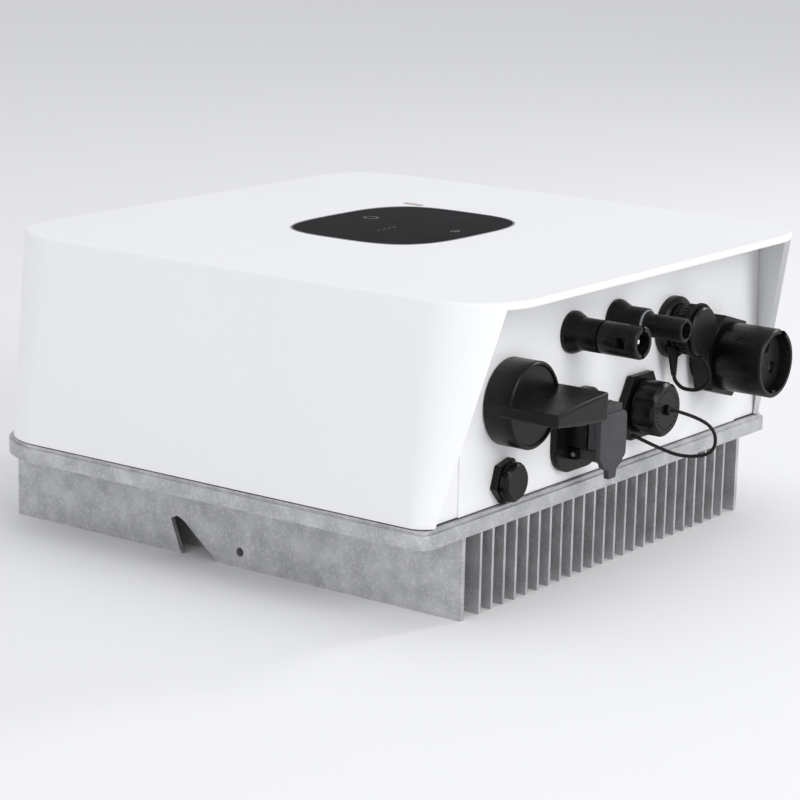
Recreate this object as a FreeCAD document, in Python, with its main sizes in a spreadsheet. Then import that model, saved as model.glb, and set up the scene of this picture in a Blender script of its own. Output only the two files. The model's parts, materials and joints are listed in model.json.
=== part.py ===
"""Wall-mounted string inverter, lying on the fins of its heat sink.

Units are millimetres. X runs across the width, -Y is the connector side (down, when the
inverter hangs on a wall) and +Z points out of the front cover. Z = 0 is the plane of the fin
tips, and X = Y = 0 is the middle of the footprint, connectors included.
"""
import FreeCAD, Part
import math
import os

import Sketcher
from FreeCAD import Placement, Rotation, Vector

# ---------------------------------------------------------------------------------------
# Driving dimensions
# ---------------------------------------------------------------------------------------
SIZES = {
    # heat sink casting
    "flange_w": 282.4, "flange_l": 254.0, "flange_mid_y": 17.25, "flange_base": 6.2,
    "flange_step": 1.5, "step_inset": 1.2, "flange_rad_front": 5.0, "flange_rad_back": 35.0,
    "fin_len": 35.7, "fin_thick": 1.5, "fin_pitch": 8.77, "fin_count": 24,
    "plate_out": 114.8, "plate_thick": 2.4,
    "hook_mouth_a": 5.0, "hook_mouth_b": 25.6, "hook_top_a": 24.7, "hook_top_b": 32.4,
    "hook_depth": 15.5, "hook_crown": 1.6, "lock_y": -7.9, "lock_z": 7.1, "lock_rad": 2.1,
    # cover
    "roof_z": 138.0, "roof_thick": 3.0, "cover_wall": 2.4, "cover_edge_rad": 1.2,
    "foot_half_w": 139.8, "foot_front": 126.9, "foot_back": 122.0,
    "foot_rad_front": 10.0, "foot_rad_back": 29.0,
    "top_half_w": 133.8, "top_front": 152.5, "top_back": 121.6,
    "top_rad_front": 33.0, "top_rad_back": 33.0,
    "mouth_half_foot": 133.5, "mouth_half_top": 117.4,
    "gasket_thick": 0.5, "gasket_inset": 0.9, "gasket_w": 2.7,
    "boss_x": 132.0, "boss_rad": 5.0, "boss_len": 16.0, "cover_screw_rad": 2.0,
    "cover_screw_len": 18.0, "screw_gap": 0.3,
    # connector panel
    "panel_setback": 3.0, "panel_thick": 3.0, "panel_gap": 0.25, "panel_field_half": 114.0,
    "panel_field_rise": 0.8, "hole_gap": 0.3,
    # display
    "window_x": 5.5, "window_y": -5.1, "window_half_x": 50.3, "window_half_y": 41.0,
    "window_power": 3.4, "window_thick": 2.8, "bezel_rim": 0.7, "bezel_foot": 2.0,
    "bezel_foot_thick": 2.0, "fit_gap": 0.15,
    "status_x": 57.7, "status_y": 27.6, "status_len": 11.0, "status_w": 3.0,
    # rotary isolator
    "knob_x": -80.0, "knob_z": 87.7, "knob_rad": 18.8, "knob_len": 14.0, "knob_wall": 1.4,
    "knob_gap": 0.6, "knob_lip": 1.6, "grip_reach": 37.4, "grip_thin": 5.2, "grip_wide": 12.6,
    "grip_left": 19.0, "grip_right": 19.8, "shaft_rad": 4.0, "shaft_gap": 0.06,
    "collar_rad": 16.9, "collar_thick": 2.6, "neck_rad": 7.8, "isolator_side": 42.0,
    "isolator_depth": 40.0,
    # solar connectors
    "pv_near_x": -32.3, "pv_far_x": 3.2, "pv_z": 109.8, "pv_base_rad": 9.4, "pv_rad": 7.2,
    "pv_sleeve": 16.0, "pv_len": 36.0, "pv_bore": 5.0, "pv_bore_depth": 14.0,
    "pv_neck_rad": 5.2, "pv_far_bore": 3.6, "pv_pin_rad": 1.5, "pv_thread_rad": 6.4,
    "pv_thread_len": 14.0, "pv_nut_rad": 10.5, "pv_nut_thick": 5.0,
    # pressure vent
    "vent_x": -82.0, "vent_z": 53.9, "vent_hex_rad": 10.0, "vent_hex_thick": 3.6,
    "vent_cap_rad": 8.6, "vent_len": 8.0, "vent_stem_rad": 5.6, "vent_stem_len": 11.0,
    # communication port
    "com_x": 22.5, "com_z": 68.0, "com_hex_rad": 17.0, "com_hex_thick": 4.0,
    "com_cap_rad": 12.4, "com_cap_start": 5.0, "com_cap_end": 16.8, "com_lobes": 8,
    "com_lobe_rad": 2.6, "com_tube_rad": 9.2, "com_pin_rad": 1.5, "com_pin_head": 2.5,
    "tether_rad": 0.8,
    # data-stick port
    "usb_x": 50.8, "usb_z": 99.6, "usb_collar_rad": 14.3, "usb_collar_thick": 5.2,
    "usb_tube_rad": 8.4, "usb_cap_rad": 11.3, "usb_cap_start": 7.4, "usb_cap_end": 18.0,
    "usb_ribs": 16, "strap_thick": 1.6, "strap_w": 5.0, "strap_rad": 0.9,
    # grid connector
    "ac_x": 83.5, "ac_z": 82.3, "ac_flange_rad": 15.6, "ac_flange_thick": 3.2,
    "ac_nut_rad": 20.6, "ac_nut_end": 12.8, "ac_rad": 16.0, "ac_wall": 2.2, "ac_len": 37.5,
    "ac_recess": 5.5, "ac_pin_rad": 1.7, "ac_pin_circle": 7.2, "ac_notch": 4.2,
    "ac_stem_rad": 12.0, "ac_stem_len": 16.0,
    # auxiliary port with its rubber flap
    "aux_x": -28.5, "aux_z": 66.4, "aux_w": 36.0, "aux_h": 35.4, "aux_thick": 3.3,
    "aux_rad": 11.0, "aux_body_w": 20.0, "aux_body_h": 18.4, "aux_body_len": 10.0,
    "aux_body_up": 3.7, "flap_w": 21.0, "flap_h": 21.6, "flap_thick": 2.6, "flap_skirt": 4.6,
    "flap_strap": 5.0, "flap_strap_w": 13.0, "flap_tab": 7.5, "flap_eye_up": -9.0,
    "flap_pin_rad": 1.0, "seat_gap": 0.4,
    # electronics
    "board_z": 58.0, "board_thick": 1.6, "board_w": 232.0, "board_front": -92.0,
    "board_back": 104.0, "pad_thick": 1.0, "module_w": 86.0, "module_l": 52.0,
    "cap_rad": 15.0, "cap_tall": 44.0, "choke_w": 52.0, "choke_tall": 46.0,
    "relay_w": 16.0, "relay_l": 28.0, "relay_tall": 24.0,
}

doc = FreeCAD.newDocument("StringInverter")
sheet = doc.addObject("Spreadsheet::Sheet", "Sizes")
for row, (alias, number) in enumerate(SIZES.items(), start=1):
    sheet.set(f"A{row}", alias)
    sheet.set(f"B{row}", str(number))
    sheet.setAlias(f"B{row}", alias)
doc.recompute()

nodes = {}

# Places worked out from the driving dimensions, as expressions over the sheet
STEP_Z = "(fin_len + flange_base)"
TOP_Z = "(fin_len + flange_base + flange_step)"
PANEL_Y = "(flange_mid_y - flange_l / 2 + panel_setback)"
COVER_Z = "(fin_len + flange_base + flange_step + gasket_thick)"
PANEL_HOLE = "(panel_thick + 2)"

# Out of the connector panel: local +Z points to -Y and local +Y to +Z
OUTWARD = Rotation(Vector(1, 0, 0), 90)
ALONG_X = Rotation(Vector(0, 1, 0), 90)


def mm(alias):
    """Return the number in the sheet's cell of that alias."""
    return float(sheet.get(alias))


def in_sheet(text):
    """Write every alias in the expression as a cell of the sheet."""
    written, word = [], ""
    for letter in str(text) + " ":
        if letter.isalnum() or letter == "_":
            word += letter
        else:
            written.append("Sizes." + word if word in SIZES else word)
            written.append(letter)
            word = ""
    return "".join(written).strip()


def bind(obj, sizes):
    """Tie properties of an object to expressions over the sheet."""
    for name, expression in sizes.items():
        obj.setExpression(name, in_sheet(expression))
    return obj


def put(obj, x="0", y="0", z="0", turn=None):
    """Place an object at bound coordinates, turned by a fixed rotation."""
    obj.Placement = Placement(Vector(0, 0, 0), turn or Rotation())
    return bind(obj, {"Placement.Base.x": x, "Placement.Base.y": y, "Placement.Base.z": z})


def node(label, obj):
    """Name an object as a finished piece."""
    obj.Label = label
    nodes[label] = obj
    return obj


def box(name, length, width, height, x="0", y="0", z="0"):
    """A block whose lowest corner is at x, y, z."""
    block = doc.addObject("Part::Box", name)
    bind(block, {"Length": length, "Width": width, "Height": height})
    return put(block, x, y, z)


def block_mid(name, length, width, height, x="0", y="0", z="0"):
    """A block centred on x and y, standing on z."""
    return box(name, length, width, height, f"({x}) - ({length}) / 2", f"({y}) - ({width}) / 2", z)


def rod(name, radius, height, x="0", y="0", z="0", turn=None):
    """A cylinder along local Z from x, y, z."""
    cylinder = doc.addObject("Part::Cylinder", name)
    bind(cylinder, {"Radius": radius, "Height": height})
    return put(cylinder, x, y, z, turn)


def hexagon(name, radius, height, x="0", y="0", z="0", turn=None):
    """A six-sided bar, radius to its corners."""
    prism = doc.addObject("Part::Prism", name)
    prism.Polygon = 6
    bind(prism, {"Circumradius": radius, "Height": height})
    return put(prism, x, y, z, turn)


def cone(name, radius_low, radius_high, height, x="0", y="0", z="0"):
    """A cone along local Z."""
    taper = doc.addObject("Part::Cone", name)
    bind(taper, {"Radius1": radius_low, "Radius2": radius_high, "Height": height})
    return put(taper, x, y, z)


def fuse(name, parts):
    """Join several shapes."""
    joined = doc.addObject("Part::MultiFuse", name)
    joined.Shapes = parts
    return joined


def cut(name, base, tools):
    """Take several shapes away from one."""
    removed = doc.addObject("Part::Cut", name)
    removed.Base = base
    removed.Tool = tools[0] if len(tools) == 1 else fuse(name + "Tools", tools)
    return removed


def group(name, parts):
    """Keep separate solids together as one piece of the list."""
    compound = doc.addObject("Part::Compound", name)
    compound.Links = parts
    return compound


def solid(name, shape):
    """A document object that holds a shape made in code."""
    feature = doc.addObject("Part::Feature", name)
    feature.Shape = shape
    return feature


def fillet(name, base, picks, radius):
    """Round the edges of base that the test picks."""
    doc.recompute()
    rounded = doc.addObject("Part::Fillet", name)
    rounded.Base = base
    rounded.Edges = [(number, radius, radius)
                     for number, edge in enumerate(base.Shape.Edges, start=1) if picks(edge)]
    return rounded


def upright(edge):
    """True for a straight edge along Z."""
    box_of = edge.BoundBox
    return box_of.ZLength > 0.2 and box_of.XLength < 1e-6 and box_of.YLength < 1e-6


def ring_at(height, radius):
    """Pick a full circle of that radius at that height."""
    def picks(edge):
        box_of = edge.BoundBox
        flat = box_of.ZLength < 1e-6 and abs(box_of.ZMin - height) < 1e-4
        return flat and abs(box_of.XLength - 2 * radius) < 1e-3
    return picks


def outline_sketch(body, name, plane, points, circles=()):
    """A closed outline of straight lines with every corner bound to the sheet."""
    sketch = body.newObject("Sketcher::SketchObject", name)
    support = [part for part in body.Origin.OriginFeatures if part.Role == plane][0]
    sketch.AttachmentSupport = [(support, "")]
    sketch.MapMode = "FlatFace"
    count = len(points)
    for number in range(count):
        angle, after = (2 * math.pi * step / count for step in (number, number + 1))
        sketch.addGeometry(Part.LineSegment(Vector(9 * math.cos(angle), 9 * math.sin(angle), 0),
                                            Vector(9 * math.cos(after), 9 * math.sin(after), 0)))
    for number in range(count):
        sketch.addConstraint(Sketcher.Constraint("Coincident", number, 2, (number + 1) % count, 1))
    for number, (across, along) in enumerate(points):
        for kind, expression in (("DistanceX", across), ("DistanceY", along)):
            index = sketch.addConstraint(Sketcher.Constraint(kind, number, 1, 1.0 + number))
            sketch.setExpression(f"Constraints[{index}]", in_sheet(expression))
    for across, along, radius in circles:
        number = sketch.addGeometry(Part.Circle(Vector(1, 1, 0), Vector(0, 0, 1), 1))
        for kind, expression in (("DistanceX", across), ("DistanceY", along)):
            index = sketch.addConstraint(Sketcher.Constraint(kind, number, 3, 1.0))
            sketch.setExpression(f"Constraints[{index}]", in_sheet(expression))
        index = sketch.addConstraint(Sketcher.Constraint("Radius", number, 1.0))
        sketch.setExpression(f"Constraints[{index}]", in_sheet(radius))
    return sketch


def pad(body, name, sketch, length, reversed_way=False):
    """Raise a sketch into a solid."""
    feature = body.newObject("PartDesign::Pad", name)
    feature.Profile = sketch
    feature.Reversed = reversed_way
    return bind(feature, {"Length": length})


def turned(name, profile):
    """A body of revolution about its own Z; profile lists (radius, height) pairs."""
    body = doc.addObject("PartDesign::Body", name)
    sketch = outline_sketch(body, name + "Profile", "XZ_Plane", profile)
    spin = body.newObject("PartDesign::Revolution", name + "Turn")
    spin.Profile = sketch
    spin.ReferenceAxis = (sketch, ["V_Axis"])
    spin.Angle = 360
    return body


def on_panel(obj, x, z):
    """Stand a piece on the connector panel, its local +Z pointing out."""
    return put(obj, x, PANEL_Y, z, OUTWARD)


# ---------------------------------------------------------------------------------------
# Heat sink casting
# ---------------------------------------------------------------------------------------
def rectangle(half_x, low_y, high_y):
    """Corner expressions of a rectangle centred on X."""
    return [(f"-({half_x})", low_y), (half_x, low_y), (half_x, high_y), (f"-({half_x})", high_y)]


def flange_plate(body, name, height, z, inset):
    """One level of the flange, on a plane raised to z."""
    half = f"(flange_w / 2 - ({inset}))"
    reach = f"(flange_l / 2 - ({inset}))"
    sketch = outline_sketch(body, name + "Outline", "XY_Plane",
                            rectangle(half, f"flange_mid_y - {reach}", f"flange_mid_y + {reach}"))
    bind(sketch, {"AttachmentOffset.Base.z": z})
    return pad(body, name, sketch, height)


def round_corners(body, name, base, radius, back):
    """Round the two upright corners at the front or at the back of the casting."""
    doc.recompute()
    picked = []
    for number, edge in enumerate(base.Shape.Edges, start=1):
        box_of = edge.BoundBox
        far = abs(box_of.Center.x) > mm("flange_w") / 2 - mm("step_inset") - 0.1
        behind = box_of.Center.y > mm("flange_mid_y")
        if upright(edge) and far and behind == back:
            picked.append(f"Edge{number}")
    rounded = body.newObject("PartDesign::Fillet", name)
    rounded.Base = (base, picked)
    bind(rounded, {"Radius": radius})
    return rounded


def heatsink():
    """Flange, fins, the two outer plates with their hanging notches, and the screw holes."""
    body = doc.addObject("PartDesign::Body", "HeatSink")
    flange_plate(body, "FlangeBase", "flange_base", "fin_len", "0")
    step = flange_plate(body, "FlangeStep", "flange_step", STEP_Z, "step_inset")
    front = round_corners(body, "FrontCorners", step, "flange_rad_front", False)
    round_corners(body, "BackCorners", front, "flange_rad_back", True)
    first = "(-(fin_count - 1) * fin_pitch / 2)"
    low, high = "flange_mid_y - flange_l / 2", "flange_mid_y + flange_l / 2"
    left, right = f"{first} - fin_thick / 2", f"{first} + fin_thick / 2"
    fin_sketch = outline_sketch(body, "FinOutline", "XY_Plane",
                                [(left, low), (right, low), (right, high), (left, high)])
    fin = pad(body, "Fin", fin_sketch, "fin_len")
    pattern = body.newObject("PartDesign::LinearPattern", "Fins")
    pattern.Originals = [fin]
    across = [part for part in body.Origin.OriginFeatures if part.Role == "X_Axis"][0]
    pattern.Direction = (across, [""])
    bind(pattern, {"Length": "(fin_count - 1) * fin_pitch", "Occurrences": "fin_count"})
    notch = [("flange_mid_y + hook_mouth_b", "0"),
             ("flange_mid_y + hook_mouth_b + 1.6", "2.2"),
             ("flange_mid_y + hook_top_b", "hook_depth"),
             ("flange_mid_y + (hook_top_a + hook_top_b) / 2", "hook_depth + hook_crown"),
             ("flange_mid_y + hook_top_a", "hook_depth"),
             ("flange_mid_y + hook_mouth_a", "0")]
    plate_sketch = outline_sketch(body, "PlateOutline", "YZ_Plane",
                                  [(low, "0"), (low, "fin_len"), (high, "fin_len"), (high, "0")] + notch,
                                  [("flange_mid_y + lock_y", "lock_z", "lock_rad")])
    bind(plate_sketch, {"AttachmentOffset.Base.z": "plate_out - plate_thick"})
    plate = pad(body, "OuterPlate", plate_sketch, "plate_thick")
    mirrored = body.newObject("PartDesign::Mirrored", "OtherPlate")
    mirrored.Originals = [plate]
    middle = [part for part in body.Origin.OriginFeatures if part.Role == "YZ_Plane"][0]
    mirrored.MirrorPlane = (middle, [""])
    body.Tip = pattern
    holes = [rod("FlangeHole", "cover_screw_rad + screw_gap", "flange_base + flange_step + 2",
                 x, y, "fin_len - 1") for x, y in cover_screw_places()]
    return node("heatsink", cut("HeatSinkDrilled", body, holes))


def cover_screw_places():
    """Where the cover screws come up through the flange, as expressions."""
    places = []
    for side in (-1, 1):
        for share in (-0.37, -0.12, 0.13, 0.38):
            places.append((f"{side} * boss_x", f"flange_mid_y + {share} * flange_l"))
    return places


# ---------------------------------------------------------------------------------------
# Cover shell and what sits in its roof
# ---------------------------------------------------------------------------------------
def between(low_alias, high_alias, height):
    """Value at a height between the cover's foot and its roof."""
    foot_z = mm("fin_len") + mm("flange_base") + mm("flange_step")
    share = (height - foot_z) / (mm("roof_z") - foot_z)
    return mm(low_alias) + share * (mm(high_alias) - mm(low_alias))


def cover_outline(height, inset):
    """The cover's rounded outline at a height, drawn in by a wall."""
    half = between("foot_half_w", "top_half_w", height) - inset
    front = mm("flange_mid_y") - between("foot_front", "top_front", height) + inset
    back = mm("flange_mid_y") + between("foot_back", "top_back", height) - inset
    radius_front = between("foot_rad_front", "top_rad_front", height) - inset
    radius_back = between("foot_rad_back", "top_rad_back", height) - inset
    corners = [(half, back, -1, -1, radius_back), (-half, back, 1, -1, radius_back),
               (-half, front, 1, 1, radius_front), (half, front, -1, 1, radius_front)]
    edges = []
    ends = []
    for x, y, way_x, way_y, radius in corners:
        centre = Vector(x + way_x * radius, y + way_y * radius, height)
        start = Vector(x, centre.y, height) if way_x * way_y > 0 else Vector(centre.x, y, height)
        end = Vector(centre.x, y, height) if way_x * way_y > 0 else Vector(x, centre.y, height)
        middle = centre + Vector(-way_x, -way_y, 0).normalize() * radius
        ends.append((start, middle, end))
    for number, (start, middle, end) in enumerate(ends):
        edges.append(Part.Arc(start, middle, end).toShape())
        edges.append(Part.LineSegment(end, ends[(number + 1) % 4][0]).toShape())
    return Part.Wire(edges)


def cover_block(low, high, inset):
    """Solid between two outlines of the cover."""
    return Part.makeLoft([cover_outline(low, inset), cover_outline(high, inset)], True, True)


def squircle_block(grow, low, high):
    """A prism with the window's outline, grown all round."""
    half_x, half_y = mm("window_half_x") + grow, mm("window_half_y") + grow
    power = 2 / mm("window_power")
    points = []
    for step in range(48):
        angle = 2 * math.pi * step / 48
        across, along = math.cos(angle), math.sin(angle)
        points.append(Vector(mm("window_x") + half_x * math.copysign(abs(across) ** power, across),
                             mm("flange_mid_y") + mm("window_y")
                             + half_y * math.copysign(abs(along) ** power, along), low))
    curve = Part.BSplineCurve()
    curve.interpolate(points, PeriodicFlag=True)
    face = Part.Face(Part.Wire(curve.toShape()))
    return face.extrude(Vector(0, 0, high - low))


def status_slot(grow, low, high):
    """A round-ended slot along Y for the status light."""
    radius = mm("status_w") / 2 + grow
    reach = (mm("status_len") - mm("status_w")) / 2
    x, y = mm("status_x"), mm("flange_mid_y") + mm("status_y")
    bar = Part.makeBox(2 * radius, 2 * reach, high - low, Vector(x - radius, y - reach, low))
    ends = [Part.makeCylinder(radius, high - low, Vector(x, y + way * reach, low)) for way in (-1, 1)]
    return bar.multiFuse(ends).removeSplitter()


def cover_shell():
    """Painted cover: slanted walls, roof overhanging the connectors, screw bosses inside."""
    foot = mm("fin_len") + mm("flange_base") + mm("flange_step") + mm("gasket_thick")
    roof, under = mm("roof_z"), mm("roof_z") - mm("roof_thick")
    outer = cover_block(foot, roof, 0)
    top_edges = [edge for edge in outer.Edges if edge.BoundBox.ZMin > roof - 1e-4]
    outer = outer.makeFillet(mm("cover_edge_rad"), top_edges)
    inner = cover_block(foot - 1, under, mm("cover_wall"))
    front = mm("flange_mid_y") - mm("flange_l") / 2 + mm("panel_setback")
    low_half, high_half = mm("mouth_half_foot"), mm("mouth_half_top")
    corners = [Vector(-low_half, front - 60, foot - 1), Vector(low_half, front - 60, foot - 1),
               Vector(high_half, front - 60, under), Vector(-high_half, front - 60, under)]
    mouth = Part.Face(Part.makePolygon(corners + corners[:1])).extrude(Vector(0, 60, 0))
    shell = outer.cut([inner, mouth])
    shell = shell.cut([squircle_block(mm("bezel_rim") + mm("fit_gap"), under - 1, roof + 1),
                       status_slot(mm("fit_gap"), under - 1, roof + 1)])
    for x_way in (-1, 1):
        for share in (-0.37, -0.12, 0.13, 0.38):
            place = Vector(x_way * mm("boss_x"), mm("flange_mid_y") + share * mm("flange_l"), foot)
            boss = Part.makeCylinder(mm("boss_rad"), mm("boss_len"), place)
            shell = shell.fuse(boss.common(outer))
            shell = shell.cut(Part.makeCylinder(mm("cover_screw_rad"), mm("boss_len") - 2,
                                                place - Vector(0, 0, 1)))
    return node("cover_shell", solid("CoverShell", shell.removeSplitter()))


def cover_gasket():
    """Flat seal between the flange and the foot of the cover."""
    low = mm("fin_len") + mm("flange_base") + mm("flange_step")
    thick = mm("gasket_thick")
    plate = Part.Face(cover_outline(low, mm("gasket_inset"))).extrude(Vector(0, 0, thick))
    inner = Part.Face(cover_outline(low, mm("gasket_inset") + mm("gasket_w"))).extrude(Vector(0, 0, thick))
    front = mm("flange_mid_y") - mm("flange_l") / 2 + mm("panel_setback") + 0.3
    ahead = Part.makeBox(400, 100, 4, Vector(-200, front - 100, low - 1))
    strip = Part.makeBox(400, mm("gasket_w") - 0.4, thick, Vector(-200, front, low)).common(plate)
    ring = plate.cut([inner, ahead]).fuse(strip).removeSplitter()
    return node("cover_gasket", solid("CoverGasket", ring))


def cover_screws():
    """Pan-head screws that hold the cover, from under the flange."""
    screws = []
    for x, y in cover_screw_places():
        head = rod("CoverScrewHead", "cover_screw_rad * 1.9", "2.6", x, y, "fin_len - 2.6")
        shank = rod("CoverScrewShank", "cover_screw_rad - 0.05", "cover_screw_len", x, y, "fin_len - 1")
        socket = hexagon("CoverScrewSocket", "cover_screw_rad * 0.85", "1.6", x, y, "fin_len - 2.8")
        screws.append(cut("CoverScrew", fuse("CoverScrewBlank", [head, shank]), [socket]))
    return node("cover_screws", group("CoverScrews", screws))


def display():
    """Glossy window, its rim, the status light, the display board and the display module."""
    roof, under = mm("roof_z"), mm("roof_z") - mm("roof_thick")
    foot_top = under - mm("fit_gap")
    rim = squircle_block(mm("bezel_rim"), foot_top - 0.5, roof + 0.1)
    foot = squircle_block(mm("bezel_foot"), foot_top - mm("bezel_foot_thick"), foot_top)
    well = squircle_block(0, roof - mm("window_thick") - mm("fit_gap"), roof + 1)
    through = squircle_block(-3.0, under - 9, roof + 1)
    node("display_bezel", solid("DisplayBezel", rim.fuse(foot).cut([well, through]).removeSplitter()))
    window = squircle_block(-mm("fit_gap"), roof - mm("window_thick"), roof - 0.1)
    node("display_window", solid("DisplayWindow", window))
    light = status_slot(0, under - 0.2, roof + 0.25)
    flange = status_slot(1.2, under - 1.4, under - 0.2)
    node("status_light", solid("StatusLight", light.fuse(flange).removeSplitter()))
    middle_y = "flange_mid_y + window_y"
    board = block_mid("DisplayBoardPlate", "88", "70", "1.6", "window_x", middle_y, "roof_z - 12.5")
    module = block_mid("DisplayModuleBlock", "62", "34", "3.6", "window_x", middle_y, "roof_z - 10.8")
    node("display_board", board)
    node("display_module", module)


# ---------------------------------------------------------------------------------------
# Connector panel
# ---------------------------------------------------------------------------------------
def connector_panel():
    """Upright wall between the cheeks of the cover, drilled for every connector."""
    foot = mm("fin_len") + mm("flange_base") + mm("flange_step") + mm("gasket_thick")
    limit = solid("PanelLimit", cover_block(foot, mm("roof_z") - mm("roof_thick") - mm("panel_gap"),
                                            mm("cover_wall") + mm("panel_gap")))
    height = "(roof_z - roof_thick)"
    plate = box("PanelPlate", "flange_w", "panel_thick - panel_field_rise", height,
                "-flange_w / 2", f"{PANEL_Y} + panel_field_rise", "0")
    field = box("PanelField", "2 * panel_field_half", "panel_thick", height,
                "-panel_field_half", PANEL_Y, "0")
    blank = doc.addObject("Part::Common", "PanelBlank")
    blank.Base = fuse("PanelStock", [plate, field])
    blank.Tool = limit
    holes = []
    for name, x, z, radius in (("Isolator", "knob_x", "knob_z", "neck_rad"),
                               ("PvNear", "pv_near_x", "pv_z", "pv_thread_rad"),
                               ("PvFar", "pv_far_x", "pv_z", "pv_thread_rad"),
                               ("Vent", "vent_x", "vent_z", "vent_stem_rad"),
                               ("Com", "com_x", "com_z", "com_tube_rad"),
                               ("Usb", "usb_x", "usb_z", "usb_tube_rad"),
                               ("Ac", "ac_x", "ac_z", "ac_stem_rad"),
                               ("Aux", "aux_x", "aux_z", "aux_body_h / 2")):
        holes.append(rod(name + "Hole", f"{radius} + hole_gap", PANEL_HOLE,
                         x, f"{PANEL_Y} + panel_thick + 1", z, OUTWARD))
    return node("connector_panel", cut("ConnectorPanel", blank, holes))


# ---------------------------------------------------------------------------------------
# Rotary isolator
# ---------------------------------------------------------------------------------------
def isolator():
    """Switch body behind the panel, collar, shaft and the turning knob."""
    side, depth = "isolator_side", "isolator_depth"
    block = block_mid("IsolatorBlock", side, side, depth, "0", "0", f"-panel_thick - {depth}")
    neck = rod("IsolatorNeck", "neck_rad", "panel_thick + collar_thick", z="-panel_thick")
    bore = rod("IsolatorBore", "shaft_rad + shaft_gap", f"{depth} + 20", z=f"-panel_thick - {depth} + 8")
    node("isolator_body", on_panel(cut("IsolatorBody", fuse("IsolatorCase", [block, neck]), [bore]),
                                   "knob_x", "knob_z"))
    collar = turned("IsolatorCollar", [("neck_rad + hole_gap", "0"), ("collar_rad", "0"),
                                       ("collar_rad", "collar_thick - 0.6"),
                                       ("collar_rad - 0.6", "collar_thick"),
                                       ("neck_rad + hole_gap", "collar_thick")])
    node("isolator_collar", on_panel(collar, "knob_x", "knob_z"))
    shaft = turned("IsolatorShaft", [("0", f"-panel_thick - {depth} + 10"),
                                     ("shaft_rad", f"-panel_thick - {depth} + 10"),
                                     ("shaft_rad", "knob_len + 4"), ("shaft_rad - 0.8", "knob_len + 5"),
                                     ("0", "knob_len + 5")])
    node("isolator_shaft", on_panel(shaft, "knob_x", "knob_z"))
    inner = "knob_rad - knob_wall"
    skirt = turned("KnobSkirt", [("shaft_rad + 0.02", "collar_thick + 0.8"),
                                 ("shaft_rad + 2.4", "collar_thick + 0.8"),
                                 ("shaft_rad + 2.4", "knob_len - 4.5"), (inner, "knob_len - 4.5"),
                                 (inner, "knob_gap"), ("knob_rad", "knob_gap"),
                                 ("knob_rad", "knob_len - 0.8"), ("knob_rad - 0.8", "knob_len"),
                                 ("knob_rad - knob_lip", "knob_len"),
                                 ("knob_rad - knob_lip - 0.5", "knob_len - 0.9"),
                                 ("shaft_rad + 0.02", "knob_len - 0.9")])
    grip_body = doc.addObject("PartDesign::Body", "KnobGrip")
    quarter = "(grip_thin * 0.35 + grip_wide * 0.65) / 2"
    sketch = outline_sketch(grip_body, "GripOutline", "XY_Plane",
                            [("-grip_left", "-grip_thin / 2"), ("0", f"-({quarter})"),
                             ("grip_right", "-grip_wide / 2"), ("grip_right", "grip_wide / 2"),
                             ("0", quarter), ("-grip_left", "grip_thin / 2")])
    bind(sketch, {"AttachmentOffset.Base.z": "knob_len - 4.8"})
    lift = pad(grip_body, "GripLift", sketch, "grip_reach - knob_len + 4.8")
    doc.recompute()
    top = mm("grip_reach")
    rounded = grip_body.newObject("PartDesign::Fillet", "GripEdges")
    rounded.Base = (lift, [f"Edge{number}" for number, edge in enumerate(lift.Shape.Edges, start=1)
                           if edge.BoundBox.ZMin > top - 1e-4 or (upright(edge)
                                                                  and abs(edge.BoundBox.Center.x) > 1)])
    rounded.Radius = 1.2
    bore = rod("KnobBore", "shaft_rad + 0.02", "knob_len + 5.2")
    knob = cut("IsolatorKnob", fuse("KnobBlank", [skirt, grip_body]), [bore])
    node("isolator_knob", on_panel(knob, "knob_x", "knob_z"))


# ---------------------------------------------------------------------------------------
# Solar connectors
# ---------------------------------------------------------------------------------------
def pv_housing(name, label, x, front_radius, bore_radius, windows):
    """One panel receptacle: flared foot, sleeve, latch section and threaded tail."""
    foot_end, shoulder = "1.8", "6.4"
    body = turned(name, [("0", "-panel_thick - pv_thread_len"),
                         ("pv_thread_rad", "-panel_thick - pv_thread_len"), ("pv_thread_rad", "0"),
                         ("pv_base_rad", "0"), ("pv_base_rad", foot_end), ("pv_rad", shoulder),
                         ("pv_rad", "pv_sleeve"), ("pv_rad - 1", "pv_sleeve"),
                         ("pv_rad - 1", "pv_sleeve + 1.2"), (front_radius, "pv_sleeve + 1.2"),
                         (front_radius, "pv_len - 0.6"), (f"{front_radius} - 0.6", "pv_len"),
                         ("0", "pv_len")])
    doc.recompute()
    base = body.Tip
    picked = []
    for number, edge in enumerate(base.Shape.Edges, start=1):
        box_of = edge.BoundBox
        for height, radius in ((1.8, mm("pv_base_rad")), (6.4, mm("pv_rad"))):
            if ring_at(height, radius)(edge) and f"Edge{number}" not in picked:
                picked.append(f"Edge{number}")
    rounded = body.newObject("PartDesign::Fillet", name + "Flare")
    rounded.Base = (base, picked)
    rounded.Radius = 1.7
    tools = [rod(name + "Bore", bore_radius, "pv_bore_depth + 1", z="pv_len - pv_bore_depth"),
             rod(name + "Core", "pv_pin_rad + 0.02", "pv_len + pv_thread_len + panel_thick + 2",
                 z="-panel_thick - pv_thread_len - 1")]
    if windows:
        tools.append(block_mid(name + "Window", "2.6 * pv_rad", "4.4", "5", "0", "0", "pv_len - 10"))
        tools.append(block_mid(name + "Slot", "1.6", "2.6 * pv_rad", "8", "0", "0", "pv_len - 7"))
    node(label, on_panel(cut(name + "Drilled", body, tools), x, "pv_z"))


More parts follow.
